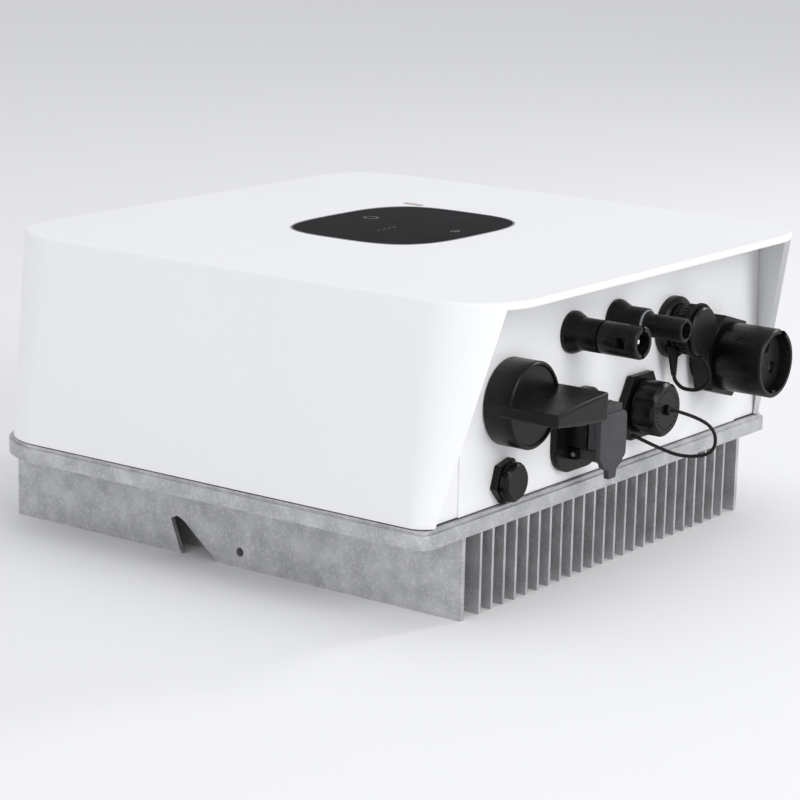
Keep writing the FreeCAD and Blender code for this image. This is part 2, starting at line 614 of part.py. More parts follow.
def pv_connectors():
    """The two receptacles with their inner nuts, seals and contacts."""
    pv_housing("PvNear", "pv_plus_housing", "pv_near_x", "pv_rad", "pv_bore", True)
    pv_housing("PvFar", "pv_minus_housing", "pv_far_x", "pv_neck_rad", "pv_far_bore", False)
    nuts, seals, contacts = [], [], []
    for x in ("pv_near_x", "pv_far_x"):
        nut = cut("PvNut", hexagon("PvNutBar", "pv_nut_rad", "pv_nut_thick",
                                   z="-panel_thick - pv_nut_thick"),
                  [rod("PvNutThread", "pv_thread_rad + 0.05", "pv_nut_thick + 2",
                       z="-panel_thick - pv_nut_thick - 1")])
        nuts.append(on_panel(nut, x, "pv_z"))
        seal = turned("PvSeal", [("pv_thread_rad + 0.05", "-1.6"), ("pv_thread_rad + 0.25", "-1.6"),
                                 ("pv_thread_rad + 0.25", "-0.2"), ("pv_thread_rad + 0.05", "-0.2")])
        seals.append(on_panel(seal, x, "pv_z"))
        pin = rod("PvContact", "pv_pin_rad", "pv_len + pv_thread_len + panel_thick - 3",
                  z="-panel_thick - pv_thread_len - 2")
        contacts.append(on_panel(group("PvContactPlaced", [pin]), x, "pv_z"))
    node("pv_nuts", group("PvNuts", nuts))
    node("pv_seals", group("PvSeals", seals))
    node("pv_contacts", group("PvContacts", contacts))


# ---------------------------------------------------------------------------------------
# Pressure vent
# ---------------------------------------------------------------------------------------
def vent():
    """Six-sided body, slotted cap and the membrane behind it."""
    hexa = hexagon("VentHex", "vent_hex_rad", "vent_hex_thick", turn=Rotation(Vector(0, 0, 1), 12))
    stem = rod("VentStem", "vent_stem_rad", "panel_thick + vent_stem_len",
               z="-panel_thick - vent_stem_len")
    bore = rod("VentBore", "vent_stem_rad - 1.6", "panel_thick + vent_stem_len + vent_hex_thick - 1",
               z="-panel_thick - vent_stem_len - 1")
    node("vent_body", on_panel(cut("VentBody", fuse("VentBlank", [hexa, stem]), [bore]),
                               "vent_x", "vent_z"))
    disc = turned("VentDisc", [("0", "vent_hex_thick"), ("vent_cap_rad - 0.8", "vent_hex_thick"),
                               ("vent_cap_rad", "vent_hex_thick + 0.8"),
                               ("vent_cap_rad", "vent_len - 1.4"), ("vent_cap_rad - 1.4", "vent_len"),
                               ("0", "vent_len")])
    slots = []
    for number in range(8):
        angle = 45 * number + 12
        reach = f"vent_cap_rad * {math.cos(math.radians(angle)):.6f}"
        rise = f"vent_cap_rad * {math.sin(math.radians(angle)):.6f}"
        slots.append(rod("VentSlot", "0.9", "vent_len - vent_hex_thick - 2", reach, rise,
                         "vent_hex_thick + 1"))
    node("vent_cap", on_panel(cut("VentCap", disc, slots), "vent_x", "vent_z"))
    membrane = rod("VentMembraneDisc", "vent_stem_rad - 1.7", "0.5", z="-2")
    node("vent_membrane", on_panel(group("VentMembrane", [membrane]), "vent_x", "vent_z"))


# ---------------------------------------------------------------------------------------
# Communication port
# ---------------------------------------------------------------------------------------
def communication_port():
    """Hexagonal foot, seal, socket, lobed cap and the swivel pin that holds its tether."""
    foot = hexagon("ComHex", "com_hex_rad", "com_hex_thick - 0.6", z="0.6")
    tube = rod("ComTube", "com_tube_rad", "com_cap_end - 4 + panel_thick + 12", z="-panel_thick - 12")
    bore = rod("ComBore", "com_tube_rad - 1.6", "60", z="-panel_thick - 13")
    node("com_flange", on_panel(cut("ComFlange", fuse("ComFoot", [foot, tube]), [bore]),
                                "com_x", "com_z"))
    seal = cut("ComGasket", hexagon("ComGasketPlate", "com_hex_rad - 0.8", "0.6"),
               [rod("ComGasketHole", "com_tube_rad + 0.1", "2", z="-0.5")])
    node("com_gasket", on_panel(seal, "com_x", "com_z"))
    carrier = rod("ComCarrier", "com_tube_rad - 1.8", "14", z="-9")
    pocket = block_mid("ComPocket", "9", "7", "10", "0", "0", "-3")
    node("com_socket", on_panel(cut("ComSocket", carrier, [pocket]), "com_x", "com_z"))
    start, end, radius = "com_cap_start", "com_cap_end", "com_cap_rad"
    drum = turned("ComDrum", [("com_pin_rad + 0.1", f"{end} - 2.6"), ("com_tube_rad + 0.3", f"{end} - 2.6"),
                              ("com_tube_rad + 0.3", start), (f"{radius} - 0.4", start),
                              (radius, f"{start} + 0.4"), (radius, f"{end} - 1.6"),
                              (f"{radius} - 1.6", end), ("com_pin_rad + 0.1", end)])
    flutes = []
    for number in range(int(mm("com_lobes"))):
        angle = 2 * math.pi * (number + 0.5) / mm("com_lobes")
        spread = f"({radius} + com_lobe_rad * 0.62)"
        flutes.append(rod("ComFlute", "com_lobe_rad", end, f"{spread} * {math.cos(angle):.6f}",
                          f"{spread} * {math.sin(angle):.6f}", f"{start} + 1.2"))
    node("com_cap", on_panel(cut("ComCap", drum, flutes), "com_x", "com_z"))
    pin = turned("ComPin", [("0", f"{end} - 3.9"), ("com_pin_head", f"{end} - 3.9"),
                            ("com_pin_head", f"{end} - 2.9"), ("com_pin_rad", f"{end} - 2.9"),
                            ("com_pin_rad", f"{end} + 0.4"), ("com_pin_head", f"{end} + 0.4"),
                            ("com_pin_head", f"{end} + 1.6"), ("com_pin_rad", f"{end} + 2.2"),
                            ("0", f"{end} + 2.2")])
    node("com_cap_pin", on_panel(pin, "com_x", "com_z"))


# The tether's route: from the swivel pin out, round below the cap and back to the foot
TETHER_ROUTE = [
    (24.4, -124.6, 68.0), (29.4, -134.0, 65.8), (33.2, -143.0, 60.0), (31.6, -143.4, 49.2),
    (26.2, -130.6, 46.6), (20.4, -118.6, 51.2), (15.4, -110.6, 55.6),
]


def rounded_path(points):
    """Straight runs joined by tangent arcs, as large as the runs allow."""
    edges, at, radii = [], points[0], []
    for before, corner, after in zip(points, points[1:], points[2:]):
        shorter = min((corner - before).Length, (after - corner).Length)
        into, out = (corner - before).normalize(), (after - corner).normalize()
        turn = into.getAngle(out)
        trim = 0.45 * shorter
        radii.append(trim / math.tan(turn / 2))
        start, end = corner - into * trim, corner + out * trim
        inward = (out - into).normalize()
        middle = corner + inward * (radii[-1] / math.cos(turn / 2) - radii[-1])
        edges.append(Part.LineSegment(at, start).toShape())
        edges.append(Part.Arc(start, middle, end).toShape())
        at = end
    edges.append(Part.LineSegment(at, points[-1]).toShape())
    return Part.Wire(edges), radii


def tether():
    """Thin cord between the swivel pin and the foot of the communication port."""
    path, radii = rounded_path([Vector(*point) for point in TETHER_ROUTE])
    print("tether bend radii", [round(radius, 1) for radius in radii])
    start, along = Vector(*TETHER_ROUTE[0]), path.Edges[0].tangentAt(path.Edges[0].FirstParameter)
    section = Part.Wire(Part.Circle(start, along, mm("tether_rad")).toShape())
    tube = path.makePipeShell([section], True, True)
    expected = math.pi * mm("tether_rad") ** 2 * path.Length
    print(f"tether {path.Length:.1f} long, volume {tube.Volume:.1f} against {expected:.1f}")
    node("com_tether", solid("ComTether", tube))


# ---------------------------------------------------------------------------------------
# Data-stick port
# ---------------------------------------------------------------------------------------
def stick_port():
    """Round collar, socket, ribbed cap and the rubber strap that keeps the cap."""
    collar = turned("UsbCollar", [("usb_tube_rad + 0.1", "0"), ("usb_collar_rad", "0"),
                                  ("usb_collar_rad", "usb_collar_thick - 1.6"),
                                  ("usb_collar_rad - 1.6", "usb_collar_thick"),
                                  ("usb_tube_rad + 0.1", "usb_collar_thick")])
    node("usb_collar", on_panel(collar, "usb_x", "usb_z"))
    tube = rod("UsbTube", "usb_tube_rad", "usb_cap_end - 3.5 + panel_thick + 12", z="-panel_thick - 12")
    bore = rod("UsbBore", "usb_tube_rad - 1.4", "60", z="4")
    slot = block_mid("UsbSlot", "12.4", "4.8", "16", "0", "0", "-8")
    node("usb_socket", on_panel(cut("UsbSocket", tube, [bore, slot]), "usb_x", "usb_z"))
    start, end, radius = "usb_cap_start", "usb_cap_end", "usb_cap_rad"
    groove = f"({end} - 4.4)"
    cap = turned("UsbDrum", [("0", f"{end} - 2.8"), ("usb_tube_rad + 0.3", f"{end} - 2.8"),
                             ("usb_tube_rad + 0.3", start), (f"{radius} - 0.5", start),
                             (radius, f"{start} + 0.5"), (radius, groove),
                             (f"{radius} - 1", groove), (f"{radius} - 1", f"{groove} + 2.2"),
                             (radius, f"{groove} + 2.2"), (radius, f"{end} - 0.9"),
                             (f"{radius} - 0.9", end), ("0", end)])
    flutes = []
    for number in range(int(mm("usb_ribs"))):
        angle = 2 * math.pi * number / mm("usb_ribs")
        flutes.append(rod("UsbFlute", "0.8", f"{groove} - {start} - 2", f"{radius} * {math.cos(angle):.6f}",
                          f"{radius} * {math.sin(angle):.6f}", f"{start} + 1"))
    node("usb_cap", on_panel(cut("UsbCap", cap, flutes), "usb_x", "usb_z"))
    node("usb_strap", on_panel(strap(), "usb_x", "usb_z"))


# The strap's loop, from its tab down, outwards and back up to the cap
STRAP_LOOP = [(-6.2, -19.6, 6.3), (-5.4, -23.2, 6.4), (-3.4, -27.2, 9.4), (-0.2, -27.6, 16.4),
              (1.4, -22.4, 21.4), (1.0, -15.6, 19.8)]


def strap():
    """Flat rubber strap: a ring round the neck, a hanging loop and a ring in the cap's groove."""
    neck_mid = (mm("usb_collar_thick") + mm("usb_cap_start")) / 2
    cap_mid = mm("usb_cap_end") - 3.3
    thick, radius = mm("strap_thick"), mm("usb_cap_rad")
    neck = Part.makeCylinder(radius, thick, Vector(0, 0, neck_mid - thick / 2))
    neck = neck.cut(Part.makeCylinder(mm("usb_tube_rad") + 0.15, 9, Vector(0, 0, neck_mid - 4)))
    cap_ring = Part.makeCylinder(radius + 1.3, thick, Vector(0, 0, cap_mid - thick / 2))
    cap_ring = cap_ring.cut(Part.makeCylinder(radius - 0.7, 9, Vector(0, 0, cap_mid - 4)))
    wide, narrow = mm("strap_w") * 0.8, mm("strap_rad") + 0.3
    outline = [Vector(-8.5 - wide, -6.5, 0), Vector(-7.5 + wide, -8.5, 0),
               Vector(-6.0 + narrow, -21.0, 0), Vector(-6.0 - narrow, -21.0, 0)]
    tab = Part.Face(Part.makePolygon(outline + outline[:1])).extrude(Vector(0, 0, thick))
    tab.translate(Vector(0, 0, neck_mid - thick / 2))
    path, radii = rounded_path([Vector(*point) for point in STRAP_LOOP] + [Vector(0.5, -11.4, cap_mid)])
    print("strap bend radii", [round(value, 1) for value in radii])
    start, along = Vector(*STRAP_LOOP[0]), path.Edges[0].tangentAt(path.Edges[0].FirstParameter)
    section = Part.Wire(Part.Circle(start, along, mm("strap_rad")).toShape())
    loop = path.makePipeShell([section], True, True)
    return solid("UsbStrap", neck.fuse([cap_ring, tab, loop]).removeSplitter())


# ---------------------------------------------------------------------------------------
# Grid connector
# ---------------------------------------------------------------------------------------
def grid_connector():
    """Foot, seal, hexagonal nut, open shroud, contact carrier and pins."""
    foot = turned("AcFoot", [("ac_stem_rad + 0.1", "0.8"), ("ac_flange_rad", "0.8"),
                             ("ac_flange_rad", "ac_flange_thick - 0.5"),
                             ("ac_flange_rad - 0.5", "ac_flange_thick"),
                             ("ac_stem_rad + 0.1", "ac_flange_thick")])
    node("ac_flange", on_panel(foot, "ac_x", "ac_z"))
    seal = turned("AcSeal", [("ac_stem_rad + 0.1", "0"), ("ac_flange_rad - 1", "0"),
                             ("ac_flange_rad - 1", "0.8"), ("ac_stem_rad + 0.1", "0.8")])
    node("ac_gasket", on_panel(seal, "ac_x", "ac_z"))
    nut = cut("AcNut", hexagon("AcNutBar", "ac_nut_rad", "ac_nut_end - ac_flange_thick",
                               z="ac_flange_thick", turn=Rotation(Vector(0, 0, 1), -16)),
              [rod("AcNutThread", "ac_stem_rad + 0.1", "ac_nut_end + 2")])
    node("ac_nut", on_panel(nut, "ac_x", "ac_z"))
    inner = "ac_rad - ac_wall"
    shroud = turned("AcShroud", [("ac_stem_rad - 2", "-panel_thick - ac_stem_len"),
                                 ("ac_stem_rad", "-panel_thick - ac_stem_len"),
                                 ("ac_stem_rad", "ac_nut_end"), ("ac_rad", "ac_nut_end"),
                                 ("ac_rad", "ac_len - 0.7"), ("ac_rad - 0.7", "ac_len"),
                                 (inner, "ac_len"), (inner, "ac_nut_end + 3"),
                                 ("ac_stem_rad - 2", "ac_nut_end + 3")])
    notch = block_mid("AcNotch", "ac_notch", "2 * ac_wall + 2", "4", "ac_rad * 0.34", "ac_rad * 0.9",
                      "ac_len - 3.4")
    keys = [block_mid("AcKey", "3", "1.2", "ac_recess - 2", "0", f"-({inner}) + 0.5",
                      "ac_len - ac_recess + 1.5")]
    node("ac_shell", on_panel(cut("AcShell", fuse("AcShroudKeyed", [shroud] + keys), [notch]),
                              "ac_x", "ac_z"))
    carrier = rod("AcCarrier", f"{inner} - 0.2", "ac_len - ac_recess - ac_nut_end - 3.2",
                  z="ac_nut_end + 3.2")
    tail = rod("AcCarrierTail", "ac_stem_rad - 2.2", "ac_nut_end + panel_thick + ac_stem_len + 4",
               z="-panel_thick - ac_stem_len")
    holes, pins = [], []
    for angle in (90, 210, 330):
        x = f"ac_pin_circle * {math.cos(math.radians(angle)):.6f}"
        y = f"ac_pin_circle * {math.sin(math.radians(angle)):.6f}"
        holes.append(rod("AcPinHole", "ac_pin_rad + 0.05", "90", x, y, "-30"))
        holes.append(rod("AcPocket", "ac_pin_rad + 1.3", "8", x, y, "ac_len - ac_recess - 7"))
        pin = rod("AcPin", "ac_pin_rad", "ac_len - ac_recess + panel_thick + ac_stem_len + 1.4",
                  x, y, "-panel_thick - ac_stem_len - 3")
        pins.append(pin)
    node("ac_insert", on_panel(cut("AcInsert", fuse("AcCarrierBlank", [carrier, tail]), holes),
                               "ac_x", "ac_z"))
    node("ac_pins", on_panel(group("AcPins", pins), "ac_x", "ac_z"))


# ---------------------------------------------------------------------------------------
# Auxiliary port with its rubber flap
# ---------------------------------------------------------------------------------------
def auxiliary_port():
    """Square foot with ears, socket block, hinge pin and the grey flap that closes it."""
    plate = fillet("AuxPlateRound", block_mid("AuxPlate", "aux_w", "aux_h", "aux_thick"), upright,
                   mm("aux_rad"))
    eye_rad = "flap_strap / 2"
    eye_z = f"(aux_thick + seat_gap + {eye_rad})"
    ears = []
    for way in (-1, 1):
        ear_x = f"{way} * (flap_strap_w / 2 + seat_gap + 0.9)"
        ears.append(block_mid("AuxEar", "1.8", "flap_strap", "seat_gap + flap_strap * 0.9",
                              ear_x, "flap_eye_up", "aux_thick"))
    pin_hole = rod("AuxPinHole", "flap_pin_rad + 0.02", "flap_strap_w + 8",
                   "-flap_strap_w / 2 - 4", "flap_eye_up", eye_z, ALONG_X)
    cavity = rod("AuxCavity", "aux_body_h / 2 - 1", "12", z="-4")
    node("aux_flange", on_panel(cut("AuxFlange", fuse("AuxFoot", [plate] + ears), [pin_hole, cavity]),
                                "aux_x", "aux_z"))
    body_len = "(aux_thick + aux_body_len)"
    block = block_mid("AuxBlock", "aux_body_w", "aux_body_h", "aux_body_len", "0", "aux_body_up",
                      "aux_thick")
    mouth = block_mid("AuxMouth", "aux_body_w - 4.5", "aux_body_h - 5", "aux_body_len", "0",
                      "aux_body_up", "aux_thick + 3")
    tail = rod("AuxTail", "aux_body_h / 2 - 1.3", "panel_thick + 8 + aux_thick", z="-panel_thick - 8")
    node("aux_socket", on_panel(cut("AuxSocket", fuse("AuxSocketBlank", [block, tail]), [mouth]),
                                "aux_x", "aux_z"))
    pin = rod("AuxPin", "flap_pin_rad", "flap_strap_w + 5.4",
              "-flap_strap_w / 2 - 2.7", "flap_eye_up", eye_z, ALONG_X)
    node("aux_hinge_pin", on_panel(group("AuxHingePin", [pin]), "aux_x", "aux_z"))
    skirt_start = f"{body_len} + seat_gap"
    plate_start = f"({skirt_start} + flap_skirt)"
    low = "(flap_eye_up - flap_strap / 2)"
    face = block_mid("FlapFace", "flap_w", "flap_h", "flap_thick", "0", f"{low} + flap_h / 2", plate_start)
    face = fillet("FlapFaceRound", face, upright, 3.2)
    skirt = block_mid("FlapSkirt", "flap_w - 2", "aux_body_h", "flap_skirt + 0.5", "0", "aux_body_up",
                      skirt_start)
    hollow = block_mid("FlapHollow", "flap_w - 6.4", "aux_body_h - 4.4", "flap_skirt", "0",
                       "aux_body_up", skirt_start + " - 0.1")
    band = block_mid("FlapBand", "flap_strap_w", "flap_strap", f"{plate_start} - {eye_z} + 0.5", "0",
                     "flap_eye_up", eye_z)
    eye = rod("FlapEye", eye_rad, "flap_strap_w", "-flap_strap_w / 2", "flap_eye_up", eye_z, ALONG_X)
    tab_body = doc.addObject("PartDesign::Body", "FlapTab")
    sketch = outline_sketch(tab_body, "TabOutline", "XY_Plane",
                            [("-flap_w / 2 + 1.2", f"{low} + 3"), ("-flap_w * 0.36", f"{low} - 1.6"),
                             ("-flap_w * 0.16", f"{low} - flap_tab * 0.5"),
                             ("-flap_w * 0.14", f"{low} - flap_tab"),
                             ("flap_w * 0.14", f"{low} - flap_tab"),
                             ("flap_w * 0.16", f"{low} - flap_tab * 0.5"),
                             ("flap_w * 0.36", f"{low} - 1.6"), ("flap_w / 2 - 1.2", f"{low} + 3")])
    bind(sketch, {"AttachmentOffset.Base.z": plate_start})
    pad(tab_body, "TabLift", sketch, "flap_thick")
    bore = rod("FlapBore", "flap_pin_rad + 0.06", "flap_strap_w + 4", "-flap_strap_w / 2 - 2",
               "flap_eye_up", eye_z, ALONG_X)
    flap = cut("AuxCap", fuse("FlapBlank", [face, skirt, band, eye, tab_body]), [hollow, bore])
    node("aux_cap", on_panel(flap, "aux_x", "aux_z"))


# ---------------------------------------------------------------------------------------
# Electronics inside the cover
# ---------------------------------------------------------------------------------------
STANDOFFS = [(-0.46, -0.4), (0.46, -0.4), (-0.46, 0.42), (0.46, 0.42), (0, -0.4), (0, 0.42)]
BOARD_TOP = "(board_z + board_thick)"


def board_places():
    """Where the board is screwed down, as expressions."""
    middle = "(flange_mid_y + (board_front + board_back) / 2)"
    return [(f"{x} * board_w", f"{middle} + {y} * (board_back - board_front)") for x, y in STANDOFFS]


def electronics():
    """Main board on its standoffs and the parts that it carries."""
    holes = [rod("BoardHole", "1.8", "board_thick + 2", x, y, "board_z - 1") for x, y in board_places()]
    plate = box("BoardPlate", "board_w", "board_back - board_front", "board_thick",
                "-board_w / 2", "flange_mid_y + board_front", "board_z")
    node("main_board", cut("MainBoard", plate, holes))
    pillars, screws = [], []
    for x, y in board_places():
        pillar = hexagon("Standoff", "3.6", f"board_z - {TOP_Z}", x, y, TOP_Z)
        pillars.append(cut("StandoffTapped", pillar, [rod("StandoffBore", "1.5", "9", x, y, "board_z - 8")]))
        head = rod("BoardScrewHead", "2.8", "2", x, y, BOARD_TOP)
        shank = rod("BoardScrewShank", "1.45", "7.6", x, y, f"{BOARD_TOP} - 7.1")
        screws.append(fuse("BoardScrew", [head, shank]))
    node("board_standoffs", group("BoardStandoffs", pillars))
    node("board_screws", group("BoardScrews", screws))
    node("thermal_pad", block_mid("ThermalPad", "module_w + 4", "module_l + 4", "pad_thick",
                                  "0", "flange_mid_y + 20", TOP_Z))
    node("power_module", block_mid("PowerModule", "module_w", "module_l",
                                   f"board_z - {TOP_Z} - pad_thick - 0.3",
                                   "0", "flange_mid_y + 20", f"{TOP_Z} + pad_thick"))
    cans = [rod("Capacitor", "cap_rad", "cap_tall", f"{number} * (2 * cap_rad + 3) - 49.5",
                "flange_mid_y + 76", BOARD_TOP) for number in range(4)]
    node("bus_capacitors", group("BusCapacitors", cans))
    for label, x, y in (("boost_choke", "-84", "22"), ("grid_choke", "84", "22")):
        case = block_mid(label + "_case", "choke_w", "choke_w", "choke_tall", x, f"flange_mid_y + {y}",
                         BOARD_TOP)
        node(label, case)
    ring = doc.addObject("Part::Torus", "CommonModeRing")
    ring.Radius1, ring.Radius2 = 15, 7
    node("common_mode_choke", put(ring, "84", "flange_mid_y - 48", f"{BOARD_TOP} + 7"))
    relays = [block_mid("Relay", "relay_w", "relay_l", "relay_tall", f"{number} * (relay_w + 4) - 8",
                        "flange_mid_y - 50", BOARD_TOP) for number in range(4)]
    node("relays", group("Relays", relays))
    node("comms_board", box("CommsBoard", "78", "1.6", "52", "0", "flange_mid_y - 84", f"{BOARD_TOP} + 1"))
    node("display_ribbon", display_ribbon())


def display_ribbon():
    """Flat cable from the main board up to the display board."""
    low = mm("board_z") + mm("board_thick")
    high = mm("roof_z") - 12.5
    y = mm("flange_mid_y") + mm("window_y") + 10
    route = [Vector(0, y, low), Vector(0, y, low + 14), Vector(0, y + 7, low + 26),
             Vector(0, y + 7, high - 22), Vector(0, y, high - 11), Vector(0, y, high)]
    path, _ = rounded_path(route)
    half_w, half_t = 9, 0.35
    corners = [route[0] + Vector(sx * half_w, sy * half_t, 0) for sx, sy in
               ((-1, -1), (1, -1), (1, 1), (-1, 1))]
    return solid("DisplayRibbon", path.makePipeShell([Part.makePolygon(corners + corners[:1])], True, True))


# ---------------------------------------------------------------------------------------
# Build, check and write
# ---------------------------------------------------------------------------------------
heatsink()
cover_shell()
cover_gasket()
cover_screws()
display()
connector_panel()
isolator()
pv_connectors()
vent()
communication_port()
tether()
stick_port()
grid_connector()
auxiliary_port()
electronics()
doc.recompute()

for thing in doc.Objects:
    if "Invalid" in thing.State or "Error" in thing.State:
        raise RuntimeError(f"{thing.Label} did not recompute: {thing.State}")
for label, piece in nodes.items():
    if piece.Shape.isNull() or not piece.Shape.isValid() or not piece.Shape.Solids:
        raise RuntimeError(f"{label} has no valid solid")

os.makedirs("parts", exist_ok=True)
for label, piece in nodes.items():
    piece.Shape.exportStep(f"parts/{label}.step")
print(len(nodes), "nodes written")
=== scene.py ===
"""Looks of a wall-mounted string inverter lying on the fins of its heat sink.

Lengths are metres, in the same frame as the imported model: X runs across the width, -Y points
out of the connector panel and +Z out of the front cover.
"""
import json
import logging
import math
from dataclasses import dataclass
from enum import Enum
from typing import Iterable, Sequence

import bmesh
import bpy
from mathutils import Matrix, Vector


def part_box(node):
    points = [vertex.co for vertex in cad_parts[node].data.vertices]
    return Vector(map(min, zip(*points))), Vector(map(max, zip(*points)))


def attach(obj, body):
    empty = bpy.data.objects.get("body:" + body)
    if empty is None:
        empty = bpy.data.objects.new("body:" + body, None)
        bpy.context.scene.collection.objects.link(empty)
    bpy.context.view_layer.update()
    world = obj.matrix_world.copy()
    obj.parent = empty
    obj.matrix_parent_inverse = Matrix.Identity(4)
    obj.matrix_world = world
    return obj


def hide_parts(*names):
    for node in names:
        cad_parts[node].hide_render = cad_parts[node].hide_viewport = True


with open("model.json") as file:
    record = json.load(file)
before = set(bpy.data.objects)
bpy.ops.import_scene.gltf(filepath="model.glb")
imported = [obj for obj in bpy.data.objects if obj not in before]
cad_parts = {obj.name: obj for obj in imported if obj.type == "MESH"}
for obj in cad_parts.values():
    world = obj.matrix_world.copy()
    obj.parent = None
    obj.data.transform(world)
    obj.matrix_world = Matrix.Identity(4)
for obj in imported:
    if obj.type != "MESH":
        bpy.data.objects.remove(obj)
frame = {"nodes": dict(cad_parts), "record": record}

LOG = logging.getLogger("inverter")
HOUSING = "housing"
MM = 0.001
PANEL_Y = -106.75       # plane of the connector panel, in millimetres
WELD_GAP = 0.000004     # corners of loose triangles closer than this are one, in metres
MARK_HEIGHT = 0.00004   # how far a printed mark stands up, in metres

Colour = tuple[float, float, float]
Point = tuple[float, float, float]


class Slot(Enum):
    """Material slots of the record."""

    CAST = "cast_aluminium"
    PAINT = "white_paint"
    RUBBER = "black_rubber"
    ZINC = "zinc_steel"
    TRIM = "satin_trim"
    GLASS = "display_glass"
    LENS = "lens"
    BOARD = "circuit_board"
    MODULE = "dark_module"
    DARK = "dark_plastic"
    BLACK = "black_plastic"
    TIN = "tin_contact"
    MEMBRANE = "membrane"
    CORD = "cord_black"
    GREY = "grey_rubber"
    BRASS = "brass_standoff"
    PAD = "pad_grey"
    CAN = "capacitor_can"
    RIBBON = "ribbon"


class Grain(Enum):
    """Kinds of surface relief."""

    NOISE = "noise"
    PEBBLE = "pebble"
    BRUSHED = "brushed"


# ---------------------------------------------------------------------------------------
# Materials
# ---------------------------------------------------------------------------------------
@dataclass(frozen=True)
class Finish:
    """How one surface looks, worked out from object coordinates.

    Attributes:
        slot: The record's slot that the finish belongs to.
        colour: Base colour, linear.
        second: Colour that the first one drifts to in patches.
        roughness: Lowest and highest roughness.
        metallic: Metal share.
        coat: Clear coat weight.
        patch: Patches per metre.
        grain: Kind of relief.
        grain_scale: Relief cells per metre.
        relief: Height of the relief in metres.
        drift: How strongly the patches show, 0 to 1.
        painted_glint_share: Share of light dots painted into the colour as sparkle glints, 0 for none.
        shine: Strength of the reflection, 0.5 for common plastics.
    """

    slot: Slot
    colour: Colour
    second: Colour
    roughness: tuple[float, float]
    metallic: float = 0.0
    coat: float = 0.0
    patch: float = 40.0
    grain: Grain = Grain.NOISE
    grain_scale: float = 1800.0
    relief: float = 0.00003
    drift: float = 0.6
    painted_glint_share: float = 0.0
    shine: float = 0.5

    def build(self) -> bpy.types.Material:
        """Build the node material.

        Returns:
            The new material, named after its slot.
        """
        material = bpy.data.materials.new(self.slot.value)
        material.use_nodes = True
        material.diffuse_color = (*self.colour, 1.0)
        graph = Graph(material.node_tree)
        place = graph.add("ShaderNodeTexCoord").outputs["Object"]
        patches = graph.noise(place, self.patch, 4.0)
        colour = graph.mix(graph.span(patches, 0.35, 0.7, 0.0, self.drift), self.colour, self.second)
        relief = self._relief(graph, place)
        # Light dots mixed into the colour are painted sparkle glints
        if self.painted_glint_share:
            cells = graph.noise(place, self.grain_scale * 0.34, 5.0)
            share = graph.span(cells, 0.52, 0.66, 0.0, self.painted_glint_share)
            colour = graph.mix_socket(share, colour, (0.93, 0.93, 0.92))
        bump = graph.add("ShaderNodeBump")
        bump.inputs["Distance"].default_value = self.relief
        bump.inputs["Strength"].default_value = 1.0
        graph.join(relief, bump.inputs["Height"])
        shader = graph.shader
        shader.inputs["Metallic"].default_value = self.metallic
        shader.inputs["Coat Weight"].default_value = self.coat
        shader.inputs["Coat Roughness"].default_value = 0.05
        shader.inputs["Specular IOR Level"].default_value = self.shine
        graph.join(colour, shader.inputs["Base Color"])
        rough = graph.span(graph.noise(place, self.patch * 6, 3.0), 0.3, 0.7, *self.roughness)
        graph.join(rough, shader.inputs["Roughness"])
        graph.join(bump.outputs["Normal"], shader.inputs["Normal"])
        return material

    def _relief(self, graph: "Graph", place: bpy.types.NodeSocket) -> bpy.types.NodeSocket:
        """Height pattern of the surface.

        Args:
            graph: The material's graph.
            place: Object coordinates.

        Returns:
            The socket that holds the height.
        """
        if self.grain is Grain.PEBBLE:
            cells = graph.add("ShaderNodeTexVoronoi")
            cells.feature = "SMOOTH_F1"
            cells.inputs["Scale"].default_value = self.grain_scale
            graph.join(place, cells.inputs["Vector"])
            return cells.outputs["Distance"]
        if self.grain is Grain.BRUSHED:
            stretch = graph.add("ShaderNodeMapping")
            stretch.inputs["Scale"].default_value = (1.0, 1.0, 0.05)
            graph.join(place, stretch.inputs["Vector"])
            return graph.noise(stretch.outputs["Vector"], self.grain_scale, 2.0)
        return graph.noise(place, self.grain_scale, 3.0)


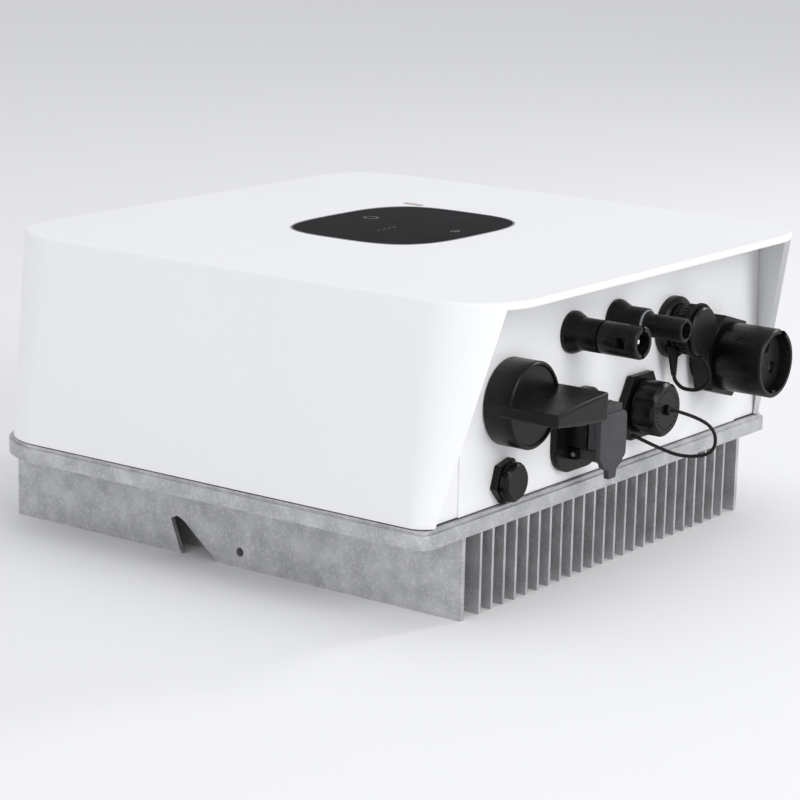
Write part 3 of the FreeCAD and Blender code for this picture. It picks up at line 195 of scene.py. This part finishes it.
class Graph:
    """Small helper round a node tree."""

    def __init__(self, tree: bpy.types.NodeTree) -> None:
        """Keep the tree and find its shader."""
        self.tree = tree
        self.shader = next(n for n in tree.nodes if n.type == "BSDF_PRINCIPLED")

    def add(self, kind: str) -> bpy.types.Node:
        """Add a node of that kind."""
        return self.tree.nodes.new(kind)

    def join(self, start: bpy.types.NodeSocket, end: bpy.types.NodeSocket) -> None:
        """Link two sockets."""
        self.tree.links.new(start, end)

    def noise(self, place: bpy.types.NodeSocket, scale: float, detail: float) -> bpy.types.NodeSocket:
        """Noise value at a scale per metre."""
        node = self.add("ShaderNodeTexNoise")
        node.inputs["Scale"].default_value = scale
        node.inputs["Detail"].default_value = detail
        self.join(place, node.inputs["Vector"])
        return node.outputs["Fac"]

    def span(self, value: bpy.types.NodeSocket, low: float, high: float,
             to_low: float, to_high: float) -> bpy.types.NodeSocket:
        """Map a value from one range to another, clamped."""
        node = self.add("ShaderNodeMapRange")
        for name, number in (("From Min", low), ("From Max", high), ("To Min", to_low),
                             ("To Max", to_high)):
            node.inputs[name].default_value = number
        self.join(value, node.inputs["Value"])
        return node.outputs["Result"]

    def mix(self, share: bpy.types.NodeSocket, first: Colour, second: Colour) -> bpy.types.NodeSocket:
        """Mix two fixed colours."""
        node = self._mixer(share, second)
        node.inputs[6].default_value = (*first, 1.0)
        return node.outputs[2]

    def mix_socket(self, share: bpy.types.NodeSocket, first: bpy.types.NodeSocket,
                   second: Colour) -> bpy.types.NodeSocket:
        """Mix a colour socket with a fixed colour."""
        node = self._mixer(share, second)
        self.join(first, node.inputs[6])
        return node.outputs[2]

    def _mixer(self, share: bpy.types.NodeSocket, second: Colour) -> bpy.types.Node:
        """A colour mixer whose second colour is fixed."""
        node = self.add("ShaderNodeMix")
        node.data_type = "RGBA"
        self.join(share, node.inputs[0])
        node.inputs[7].default_value = (*second, 1.0)
        return node


FINISHES: tuple[Finish, ...] = (
    # The light dots of the cast finish are painted sparkle glints
    Finish(Slot.CAST, (0.40, 0.405, 0.41), (0.60, 0.605, 0.61), (0.34, 0.58), metallic=0.45, patch=95,
           grain=Grain.PEBBLE, grain_scale=2600, relief=0.00007, drift=0.85, painted_glint_share=0.26),
    Finish(Slot.PAINT, (0.88, 0.885, 0.885), (0.855, 0.86, 0.865), (0.36, 0.46), coat=0.08, patch=9,
           grain_scale=1500, relief=0.000012, drift=0.5),
    Finish(Slot.BLACK, (0.0035, 0.0036, 0.0040), (0.0065, 0.0067, 0.0072), (0.27, 0.38), patch=90,
           grain_scale=1300, relief=0.000003, shine=0.2),
    Finish(Slot.DARK, (0.006, 0.006, 0.0065), (0.011, 0.011, 0.012), (0.42, 0.6), patch=70,
           grain_scale=2400, relief=0.000008, shine=0.25),
    Finish(Slot.RUBBER, (0.004, 0.004, 0.0043), (0.008, 0.008, 0.0085), (0.55, 0.75), patch=110,
           grain_scale=2600, relief=0.00001, shine=0.22),
    Finish(Slot.GREY, (0.052, 0.053, 0.055), (0.068, 0.070, 0.073), (0.58, 0.76), patch=120,
           grain_scale=2200, relief=0.00002, shine=0.3),
    Finish(Slot.CORD, (0.004, 0.004, 0.0044), (0.008, 0.008, 0.009), (0.38, 0.55), patch=160, shine=0.3),
    Finish(Slot.GLASS, (0.0025, 0.0026, 0.003), (0.004, 0.0042, 0.005), (0.16, 0.22),
           patch=12, grain_scale=300, relief=0.000001, shine=0.0015),
    Finish(Slot.TRIM, (0.20, 0.205, 0.21), (0.25, 0.255, 0.26), (0.28, 0.4), metallic=0.3, patch=80),
    Finish(Slot.LENS, (0.42, 0.30, 0.29), (0.55, 0.42, 0.40), (0.16, 0.26), coat=0.4, patch=300),
    Finish(Slot.ZINC, (0.52, 0.53, 0.53), (0.66, 0.66, 0.64), (0.26, 0.42), metallic=1.0, patch=200,
           grain=Grain.BRUSHED, grain_scale=4000),
    Finish(Slot.TIN, (0.60, 0.60, 0.58), (0.70, 0.69, 0.66), (0.18, 0.3), metallic=1.0, patch=300),
    Finish(Slot.BRASS, (0.50, 0.34, 0.11), (0.62, 0.44, 0.17), (0.24, 0.4), metallic=1.0, patch=260,
           grain=Grain.BRUSHED, grain_scale=3600),
    Finish(Slot.BOARD, (0.010, 0.085, 0.030), (0.018, 0.13, 0.045), (0.24, 0.4), coat=0.3, patch=160),
    Finish(Slot.MODULE, (0.016, 0.017, 0.018), (0.03, 0.031, 0.033), (0.4, 0.6), patch=150),
    Finish(Slot.CAN, (0.03, 0.034, 0.038), (0.05, 0.054, 0.06), (0.2, 0.34), coat=0.3, patch=120),
    Finish(Slot.PAD, (0.22, 0.24, 0.26), (0.30, 0.32, 0.34), (0.7, 0.9), patch=200),
    Finish(Slot.RIBBON, (0.50, 0.47, 0.38), (0.58, 0.55, 0.46), (0.35, 0.5), patch=150,
           grain=Grain.BRUSHED, grain_scale=1600),
    Finish(Slot.MEMBRANE, (0.62, 0.62, 0.59), (0.74, 0.74, 0.72), (0.85, 0.98), patch=300,
           grain_scale=5200, relief=0.00006),
)


class Palette:
    """Every finish, built once."""

    def __init__(self, finishes: Iterable[Finish]) -> None:
        """Build the material of each finish."""
        self._made = {finish.slot: finish.build() for finish in finishes}

    def __getitem__(self, slot: Slot) -> bpy.types.Material:
        """The material of a slot."""
        return self._made[slot]


# ---------------------------------------------------------------------------------------
# Mesh tools
# ---------------------------------------------------------------------------------------
def link(obj: bpy.types.Object) -> bpy.types.Object:
    """Show an object in the scene."""
    bpy.context.scene.collection.objects.link(obj)
    return obj


def as_object(name: str, mesh: bmesh.types.BMesh, smooth_deg: float = 35.0) -> bpy.types.Object:
    """Finish a mesh as a shown object.

    Args:
        name: Name of the piece.
        mesh: The mesh in the making, freed here.
        smooth_deg: Faces meeting at less than this are shaded smooth.

    Returns:
        The new object at the origin.
    """
    bmesh.ops.recalc_face_normals(mesh, faces=mesh.faces)
    data = bpy.data.meshes.new(name)
    mesh.to_mesh(data)
    mesh.free()
    shade(data, smooth_deg)
    return link(bpy.data.objects.new(name, data))


def shade(data: bpy.types.Mesh, smooth_deg: float) -> None:
    """Shade a mesh smooth up to an angle."""
    data.polygons.foreach_set("use_smooth", [True] * len(data.polygons))
    data.set_sharp_from_angle(angle=math.radians(smooth_deg))


def round_edges(obj: bpy.types.Object, width: float) -> None:
    """Round an object's sharp edges with modifiers.

    Args:
        obj: A piece whose faces may come as loose triangles.
        width: Width of the rounding in metres.
    """
    weld = obj.modifiers.new("Weld", "WELD")
    weld.merge_threshold = WELD_GAP
    flat = obj.modifiers.new("Flat", "DECIMATE")
    flat.decimate_type = "DISSOLVE"
    flat.angle_limit = math.radians(0.6)
    bevel = obj.modifiers.new("Edges", "BEVEL")
    bevel.width = width
    bevel.segments = 2
    bevel.limit_method = "ANGLE"
    bevel.angle_limit = math.radians(32)
    bevel.harden_normals = True


def bake(obj: bpy.types.Object) -> None:
    """Apply an object's modifiers to its mesh."""
    depsgraph = bpy.context.evaluated_depsgraph_get()
    baked = bpy.data.meshes.new_from_object(obj.evaluated_get(depsgraph))
    obj.modifiers.clear()
    obj.data = baked


def adopt(obj: bpy.types.Object, material: bpy.types.Material, slot: Slot, body: str,
          *stands_for: str) -> bpy.types.Object:
    """Give a piece its material and body, and hide the CAD nodes that it stands for.

    Args:
        obj: The finished piece.
        material: Its material.
        slot: The record's slot for that material; not used.
        body: The body that it rides on.
        stands_for: CAD nodes that it replaces.

    Returns:
        The same piece.
    """
    obj.data.materials.clear()
    obj.data.materials.append(material)
    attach(obj, body)
    if stands_for:
        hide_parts(*stands_for)
    return obj


# ---------------------------------------------------------------------------------------
# Carried pieces
# ---------------------------------------------------------------------------------------
SLOTS: dict[str, str] = {part["node"]: part["material_slot"] for part in frame["record"]["subparts"]}
BODY_OF: dict[str, str] = {node: body for body, nodes in frame["record"]["behaviour"]["bodies"].items()
                           for node in nodes}
# Widths of the small rounded edges that moulded and cast pieces have
SOFT_EDGES: dict[str, float] = {
    "heatsink": 0.00035, "connector_panel": 0.0003, "isolator_knob": 0.0006,
    "isolator_collar": 0.0004, "pv_plus_housing": 0.0003, "pv_minus_housing": 0.0003,
    "vent_body": 0.0005, "vent_cap": 0.0003, "com_flange": 0.0005, "com_cap": 0.0006,
    "com_cap_pin": 0.0003, "usb_collar": 0.0005, "usb_cap": 0.0004, "ac_flange": 0.0004,
    "ac_nut": 0.0007, "ac_shell": 0.0004, "ac_insert": 0.0003, "ac_pins": 0.0004,
    "aux_flange": 0.0004, "aux_socket": 0.0004, "cover_screws": 0.0002, "display_bezel": 0.00015,
    "display_window": 0.0002,
}


@dataclass
class CarriedPieces:
    """The CAD nodes that stay as they are, with materials and softened edges.

    Attributes:
        palette: Every finish.
        nodes: The carried objects by node name.
    """

    palette: Palette
    nodes: dict[str, bpy.types.Object]

    def dress(self) -> None:
        """Give every carried node its material, and its rounded edges where it is seen."""
        for name, obj in self.nodes.items():
            material = self.palette[Slot(SLOTS[name])]
            obj.data.materials.clear()
            obj.data.materials.append(material)
            if name in SOFT_EDGES:
                round_edges(obj, SOFT_EDGES[name])


# ---------------------------------------------------------------------------------------
# Rubber pieces
# ---------------------------------------------------------------------------------------
@dataclass
class Moulding:
    """A rubber piece with the soft edges of its mould.

    Attributes:
        name: Name of the new piece.
        node: The CAD node that it stands for.
        slot: Its material slot.
        voxel: Size of the mesh cells in metres.
        rounds: Smoothing passes, more for softer edges.
    """

    name: str
    node: str
    slot: Slot
    voxel: float
    rounds: int

    def build(self, palette: Palette, nodes: dict[str, bpy.types.Object]) -> bpy.types.Object:
        """Make the piece from the node's own shape.

        Args:
            palette: Every finish.
            nodes: The carried objects.

        Returns:
            The new piece.
        """
        source = nodes[self.node]
        obj = link(bpy.data.objects.new(self.name, source.data.copy()))
        obj.data.name = self.name
        weld = obj.modifiers.new("Weld", "WELD")
        weld.merge_threshold = WELD_GAP
        cells = obj.modifiers.new("Cells", "REMESH")
        cells.mode = "VOXEL"
        cells.voxel_size = self.voxel
        smooth = obj.modifiers.new("Smooth", "SMOOTH")
        smooth.factor = 0.5
        smooth.iterations = self.rounds
        bake(obj)
        shade(obj.data, 60)
        return adopt(obj, palette[self.slot], self.slot, BODY_OF[self.node], self.node)


@dataclass
class Seal:
    """A flat seal with slightly rounded edges.

    Attributes:
        name: Name of the new piece.
        node: The CAD node that it stands for.
        slot: Its material slot.
        edge: Width of the rounding in metres.
    """

    name: str
    node: str
    slot: Slot
    edge: float

    def build(self, palette: Palette, nodes: dict[str, bpy.types.Object]) -> bpy.types.Object:
        """Make the seal from the node's own shape.

        Args:
            palette: Every finish.
            nodes: The carried objects.

        Returns:
            The new piece.
        """
        obj = link(bpy.data.objects.new(self.name, nodes[self.node].data.copy()))
        obj.data.name = self.name
        round_edges(obj, self.edge)
        bake(obj)
        shade(obj.data, 40)
        return adopt(obj, palette[self.slot], self.slot, BODY_OF[self.node], self.node)


# ---------------------------------------------------------------------------------------
# Repeated detail
# ---------------------------------------------------------------------------------------
@dataclass
class RibRing:
    """Grip ribs round a cap, placed by Geometry Nodes.

    Attributes:
        name: Name of the piece.
        centre: Middle of the ring, in metres.
        radius: Distance of the ribs from the axis.
        count: How many ribs.
        rib: Half width, half depth and length of one rib.
        slot: Material slot.
        body: Body that the ribs ride on.
    """

    name: str
    centre: Point
    radius: float
    count: int
    rib: tuple[float, float, float]
    slot: Slot
    body: str

    def _one_rib(self) -> bpy.types.Object:
        """A single rounded rib along +Z, its flat side towards the axis.

        Returns:
            The rib, which is removed once the ring is baked.
        """
        half_w, half_d, length = self.rib
        mesh = bmesh.new()
        steps = 6
        rings = []
        for height, shrink in ((0.0, 0.35), (length * 0.12, 1.0), (length * 0.88, 1.0), (length, 0.35)):
            rings.append([mesh.verts.new((half_d * shrink * math.cos(math.pi * s / steps - math.pi / 2),
                                          half_w * shrink * math.sin(math.pi * s / steps - math.pi / 2),
                                          height)) for s in range(steps + 1)])
        for low, high in zip(rings, rings[1:]):
            for s in range(steps + 1):
                after = (s + 1) % (steps + 1)
                mesh.faces.new((low[s], low[after], high[after], high[s]))
        mesh.faces.new(list(reversed(rings[0])))
        mesh.faces.new(rings[-1])
        return as_object(self.name + "_one", mesh)

    def build(self, palette: Palette) -> bpy.types.Object:
        """Place the ribs and bake them into one piece.

        Args:
            palette: Every finish.

        Returns:
            The new piece.
        """
        rib = self._one_rib()
        group = bpy.data.node_groups.new(self.name + "_ring", "GeometryNodeTree")
        face = group.interface
        face.new_socket("Geometry", in_out="INPUT", socket_type="NodeSocketGeometry")
        for label, kind in (("Count", "NodeSocketInt"), ("Radius", "NodeSocketFloat"),
                            ("Rib", "NodeSocketObject"), ("Material", "NodeSocketMaterial")):
            face.new_socket(label, in_out="INPUT", socket_type=kind)
        face.new_socket("Geometry", in_out="OUTPUT", socket_type="NodeSocketGeometry")
        add, join = group.nodes.new, group.links.new
        enter, leave = add("NodeGroupInput"), add("NodeGroupOutput")
        circle = add("GeometryNodeMeshCircle")
        place = add("GeometryNodeInstanceOnPoints")
        info = add("GeometryNodeObjectInfo")
        point = add("GeometryNodeInputPosition")
        align = add("FunctionNodeAlignRotationToVector")
        align.axis = "X"
        align.pivot_axis = "Z"
        real, paint = add("GeometryNodeRealizeInstances"), add("GeometryNodeSetMaterial")
        join(enter.outputs["Count"], circle.inputs["Vertices"])
        join(enter.outputs["Radius"], circle.inputs["Radius"])
        join(enter.outputs["Rib"], info.inputs["Object"])
        join(circle.outputs["Mesh"], place.inputs["Points"])
        join(info.outputs["Geometry"], place.inputs["Instance"])
        join(point.outputs["Position"], align.inputs["Vector"])
        join(align.outputs["Rotation"], place.inputs["Rotation"])
        join(place.outputs["Instances"], real.inputs["Geometry"])
        join(real.outputs["Geometry"], paint.inputs["Geometry"])
        join(enter.outputs["Material"], paint.inputs["Material"])
        join(paint.outputs["Geometry"], leave.inputs[0])
        holder = as_object(self.name, bmesh.new())
        modifier = holder.modifiers.new("Ring", "NODES")
        modifier.node_group = group
        keys = {item.name: item.identifier for item in face.items_tree if item.in_out == "INPUT"}
        modifier[keys["Count"]] = self.count
        modifier[keys["Radius"]] = self.radius
        modifier[keys["Rib"]] = rib
        modifier[keys["Material"]] = palette[self.slot]
        bake(holder)
        bpy.data.objects.remove(rib)
        turn = Matrix.Translation(self.centre) @ Matrix.Rotation(math.radians(90), 4, "X")
        holder.data.transform(turn)
        shade(holder.data, 35)
        return adopt(holder, palette[self.slot], self.slot, self.body)


# ---------------------------------------------------------------------------------------
# The cord, the marks and the studio
# ---------------------------------------------------------------------------------------
@dataclass
class Tether:
    """The thin cord that keeps the communication port's cap.

    Attributes:
        radius: Radius of the cord in metres.
        route: Points of the cord in millimetres, from the cap's pin to the port's foot.
    """

    radius: float = 0.8 * MM
    route: Sequence[Point] = (
        (24.4, -124.6, 68.0), (29.4, -134.0, 65.8), (33.2, -143.0, 60.0), (31.6, -143.4, 49.2),
        (26.2, -130.6, 46.6), (20.4, -118.6, 51.2), (15.4, -110.6, 55.6),
    )

    def build(self, palette: Palette) -> bpy.types.Object:
        """Args:
            palette: Every finish.

        Returns:
            The new piece.
        """
        curve = bpy.data.curves.new("tether_cord", "CURVE")
        curve.dimensions = "3D"
        curve.bevel_depth = self.radius
        curve.bevel_resolution = 6
        curve.use_fill_caps = True
        spline = curve.splines.new("NURBS")
        spline.points.add(len(self.route) - 1)
        for point, place in zip(spline.points, self.route):
            point.co = (*(value * MM for value in place), 1.0)
        spline.order_u = 3
        spline.use_endpoint_u = True
        spline.resolution_u = 12
        obj = link(bpy.data.objects.new("tether_cord", curve))
        adopt(obj, palette[Slot.CORD], Slot.CORD, HOUSING, "com_tether")
        start = tuple(value * MM for value in self.route[0])
        return obj


@dataclass
class SleeveRing:
    """The light sealing ring that shows at the end of the far solar connector's sleeve.

    Attributes:
        centre: Middle of the ring in millimetres.
        radius: Radius of the ring's middle line in millimetres.
        thickness: Radius of its round section in millimetres.
    """

    centre: Point = (3.2, -122.9, 109.8)
    radius: float = 5.9
    thickness: float = 0.75

    def build(self, palette: Palette) -> bpy.types.Object:
        """Sweep the ring's round section about the connector's axis.

        Args:
            palette: Every finish.

        Returns:
            The new piece.
        """
        mesh = bmesh.new()
        around, section = 48, 12
        rings = []
        for turn in range(around):
            angle = 2 * math.pi * turn / around
            ring = []
            for step in range(section):
                phase = 2 * math.pi * step / section
                reach = self.radius + self.thickness * math.cos(phase)
                ring.append(mesh.verts.new(((self.centre[0] + reach * math.cos(angle)) * MM,
                                            (self.centre[1] + self.thickness * math.sin(phase)) * MM,
                                            (self.centre[2] + reach * math.sin(angle)) * MM)))
            rings.append(ring)
        for turn in range(around):
            low, high = rings[turn], rings[(turn + 1) % around]
            for step in range(section):
                after = (step + 1) % section
                mesh.faces.new((low[step], low[after], high[after], high[step]))
        return adopt(as_object("sleeve_ring", mesh, 60), palette[Slot.PAD], Slot.PAD, HOUSING)


@dataclass
class ShroudMark:
    """The small raised triangle on the grid connector's shroud, in millimetres.

    Attributes:
        axis_x: Place of the connector's axis across the width.
        axis_z: Height of the connector's axis.
        radius: Outer radius of the shroud.
        out: Distance of the mark's middle from the panel.
        angle_deg: Where the mark sits round the shroud.
        side: Side of the triangle.
        sunk: How deep its foot goes into the shroud.
        proud: How far its top stands up.
        taper: Size of the top as a share of the foot.
    """

    axis_x: float = 83.5
    axis_z: float = 82.3
    radius: float = 16.0
    out: float = 24.0
    angle_deg: float = 132.0
    side: float = 3.4
    sunk: float = 0.15
    proud: float = 0.3
    taper: float = 0.9

    def _place(self, along: float, around: float, lift: float) -> Vector:
        """A point on the shroud, from distances in millimetres.

        Args:
            along: Distance along the connector's axis, from the mark's middle.
            around: Distance round the shroud.
            lift: Height above the shroud's surface.

        Returns:
            The point in metres.
        """
        angle = math.radians(self.angle_deg) + around / self.radius
        reach = self.radius + lift
        return Vector(((self.axis_x + reach * math.cos(angle)) * MM, (PANEL_Y - self.out - along) * MM,
                       (self.axis_z + reach * math.sin(angle)) * MM))

    def build(self, palette: Palette) -> bpy.types.Object:
        """Wrap the triangle round the shroud.

        Args:
            palette: Every finish.

        Returns:
            The new piece.
        """
        mesh = bmesh.new()
        half = self.side / 2
        corners = [(-half, -half), (half, 0.0), (-half, half)]
        low = [mesh.verts.new(self._place(along, around, -self.sunk)) for along, around in corners]
        high = [mesh.verts.new(self._place(along * self.taper, around * self.taper, self.proud))
                for along, around in corners]
        mesh.faces.new(low)
        mesh.faces.new(list(reversed(high)))
        for number in range(3):
            after = (number + 1) % 3
            mesh.faces.new((low[number], low[after], high[after], high[number]))
        return adopt(as_object("shroud_mark", mesh), palette[Slot.BLACK], Slot.BLACK, HOUSING)


@dataclass
class WindowMarks:
    """Faint generic marks on the display window.

    Attributes:
        level: Height of the window's surface in metres.
    """

    level: float

    def _ring(self, mesh: bmesh.types.BMesh, middle: Vector, radius: float, width: float,
              start: float, end: float) -> None:
        """Add a thin raised arc.

        Args:
            mesh: The mesh in the making.
            middle: Middle of the arc.
            radius: Outer radius in metres.
            width: Width of the line in metres.
            start: First angle in degrees.
            end: Last angle in degrees.
        """
        steps = 28
        corners = []
        for step in range(steps + 1):
            angle = math.radians(start + (end - start) * step / steps)
            way = Vector((math.cos(angle), math.sin(angle), 0))
            inner, outer = middle + way * (radius - width), middle + way * radius
            up = Vector((0, 0, MARK_HEIGHT))
            corners.append([mesh.verts.new(p) for p in (inner, outer, outer + up, inner + up)])
        for before, after in zip(corners, corners[1:]):
            for side in range(4):
                nxt = (side + 1) % 4
                mesh.faces.new((before[side], before[nxt], after[nxt], after[side]))
        mesh.faces.new(list(reversed(corners[0])))
        mesh.faces.new(corners[-1])

    def _bar(self, mesh: bmesh.types.BMesh, middle: Vector, size: tuple[float, float]) -> None:
        """Add a thin raised bar."""
        made = bmesh.ops.create_cube(mesh, size=1.0)["verts"]
        bmesh.ops.scale(mesh, verts=made, vec=(size[0], size[1], MARK_HEIGHT))
        bmesh.ops.translate(mesh, verts=made, vec=middle + Vector((0, 0, MARK_HEIGHT / 2)))

    def build(self, palette: Palette) -> bpy.types.Object:
        """Draw a standby mark, a wireless mark and a row of small dashes.

        Args:
            palette: Every finish.

        Returns:
            The new piece.
        """
        mesh = bmesh.new()
        standby = Vector((12 * MM, 36.2 * MM, self.level))
        self._ring(mesh, standby, 3.6 * MM, 0.5 * MM, -235, 55)
        self._bar(mesh, standby + Vector((0, 3.0 * MM, 0)), (0.5 * MM, 2.6 * MM))
        wireless = Vector((8 * MM, -18.5 * MM, self.level))
        for number in range(3):
            self._ring(mesh, wireless, (1.6 + 1.5 * number) * MM, 0.45 * MM, 45, 135)
        for number in range(4):
            self._bar(mesh, Vector(((-14 + 4 * number) * MM, 12 * MM, self.level)), (2.2 * MM, 0.4 * MM))
        return adopt(as_object("window_marks", mesh), palette[Slot.TRIM], Slot.TRIM, HOUSING)


@dataclass(frozen=True)
class Lamp:
    """One soft studio light.

    Attributes:
        name: Name of the lamp.
        place: Where it hangs, in metres.
        size: Diameter in metres.
        power: Power in watts.
    """

    name: str
    place: Point
    size: float
    power: float

    def build(self, target: Vector) -> None:
        """Hang the lamp and aim it."""
        data = bpy.data.lights.new(self.name, "AREA")
        data.shape = "DISK"
        data.size = self.size
        data.energy = self.power
        lamp = link(bpy.data.objects.new(self.name, data))
        lamp.location = self.place
        lamp.rotation_euler = (target - lamp.location).to_track_quat("-Z", "Y").to_euler()


@dataclass(frozen=True)
class Studio:
    """Floor, lamps and camera.

    Attributes:
        camera_place: Where the camera stands, in metres.
        azimuth_deg: Direction of the camera's right-hand side.
        back: Direction from the object to the camera.
        roll_deg: Turn of the camera about its own axis.
        lens_mm: Focal length.
        sensor_mm: Width of the sensor.
        target: Point that the lamps face.
        lamps: The soft lights.
        sky: Colour of the surroundings.
        sky_strength: Brightness of the surroundings.
    """

    camera_place: Point = (-0.9871, -0.71705, 0.3428)
    azimuth_deg: float = -53.7
    back: Point = (-0.7847, -0.5764, 0.2280)
    roll_deg: float = 1.25
    lens_mm: float = 120.65
    sensor_mm: float = 36
    target: Point = (0, 0, 0.07)
    lamps: tuple[Lamp, ...] = (
        Lamp("key", (-0.25, -1.8, 1.0), 1.1, 15), Lamp("side", (-1.7, 0.4, 0.7), 1.4, 4),
        Lamp("rim", (1.4, -0.6, 0.9), 0.3, 6), Lamp("top", (0.1, 0.2, 2.0), 2.0, 3),
    )
    sky: Colour = (0.95, 0.96, 1.0)
    sky_strength: float = 0.72

    def build(self) -> None:
        """Make the whole studio."""
        mesh = bmesh.new()
        bmesh.ops.create_grid(mesh, x_segments=1, y_segments=1, size=6)
        floor = as_object("floor", mesh)
        floor.data.materials.append(self._floor_material())
        for lamp in self.lamps:
            lamp.build(Vector(self.target))
        world = bpy.data.worlds.new("studio")
        world.use_nodes = True
        background = world.node_tree.nodes["Background"]
        background.inputs["Color"].default_value = (*self.sky, 1.0)
        background.inputs["Strength"].default_value = self.sky_strength
        bpy.context.scene.world = world
        bpy.context.scene.view_settings.view_transform = "Standard"
        self._camera()

    @staticmethod
    def _floor_material() -> bpy.types.Material:
        """Pale paper."""
        material = bpy.data.materials.new("floor_paper")
        material.use_nodes = True
        shader = material.node_tree.nodes["Principled BSDF"]
        shader.inputs["Base Color"].default_value = (0.86, 0.86, 0.86, 1.0)
        shader.inputs["Roughness"].default_value = 0.9
        return material

    def _camera(self) -> None:
        """Stand the camera at the viewing angle."""
        data = bpy.data.cameras.new("camera")
        data.lens = self.lens_mm
        data.sensor_width = self.sensor_mm
        camera = link(bpy.data.objects.new("camera", data))
        azimuth, roll = math.radians(self.azimuth_deg), math.radians(self.roll_deg)
        back = Vector(self.back).normalized()
        right = Vector((math.cos(azimuth), math.sin(azimuth), 0))
        up = back.cross(right).normalized()
        axis_x = right * math.cos(roll) + up * math.sin(roll)
        axis_y = up * math.cos(roll) - right * math.sin(roll)
        turn = Matrix((axis_x, axis_y, back)).transposed().to_4x4()
        camera.matrix_world = Matrix.Translation(self.camera_place) @ turn
        bpy.context.scene.camera = camera


# ---------------------------------------------------------------------------------------
# Assembly
# ---------------------------------------------------------------------------------------
MOULDINGS: tuple[Moulding, ...] = (
    Moulding("rubber_flap", "aux_cap", Slot.GREY, 0.00030, 4),
    Moulding("rubber_strap", "usb_strap", Slot.RUBBER, 0.00028, 3),
)

SEALS: tuple[Seal, ...] = (
    Seal("cover_seal", "cover_gasket", Slot.GREY, 0.0001),
    Seal("com_seal", "com_gasket", Slot.RUBBER, 0.0001),
    Seal("grid_seal", "ac_gasket", Slot.RUBBER, 0.0001),
)


def panel_point(x: float, z: float, out: float) -> Point:
    """A point in front of the connector panel, from millimetres to metres."""
    return (x * MM, (PANEL_Y - out) * MM, z * MM)


RIB_RINGS: tuple[RibRing, ...] = (
    RibRing("com_cap_ribs", panel_point(22.5, 68.0, 16.8), 0.0085, 24, (0.0004, 0.00035, 0.0003),
            Slot.BLACK, "com_turn"),
    RibRing("usb_cap_ribs", panel_point(50.8, 99.6, 8.4), 0.0112, 32, (0.0006, 0.0005, 0.0046),
            Slot.BLACK, "usb_turn"),
)


def main() -> None:
    """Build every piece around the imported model."""
    logging.basicConfig(level=logging.INFO)
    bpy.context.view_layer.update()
    palette = Palette(FINISHES)
    nodes = frame["nodes"]
    CarriedPieces(palette, nodes).dress()
    for moulding in MOULDINGS:
        LOG.info("built %s", moulding.build(palette, nodes).name)
    for seal in SEALS:
        LOG.info("built %s", seal.build(palette, nodes).name)
    for ring in RIB_RINGS:
        LOG.info("built %s", ring.build(palette).name)
    window_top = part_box("display_window")[1][2]
    for detail in (SleeveRing(), ShroudMark(), Tether(), WindowMarks(window_top)):
        LOG.info("built %s", detail.build(palette).name)
    Studio().build()
    LOG.info("dressed %d carried nodes", len(nodes))


if __name__ == "__main__":
    main()
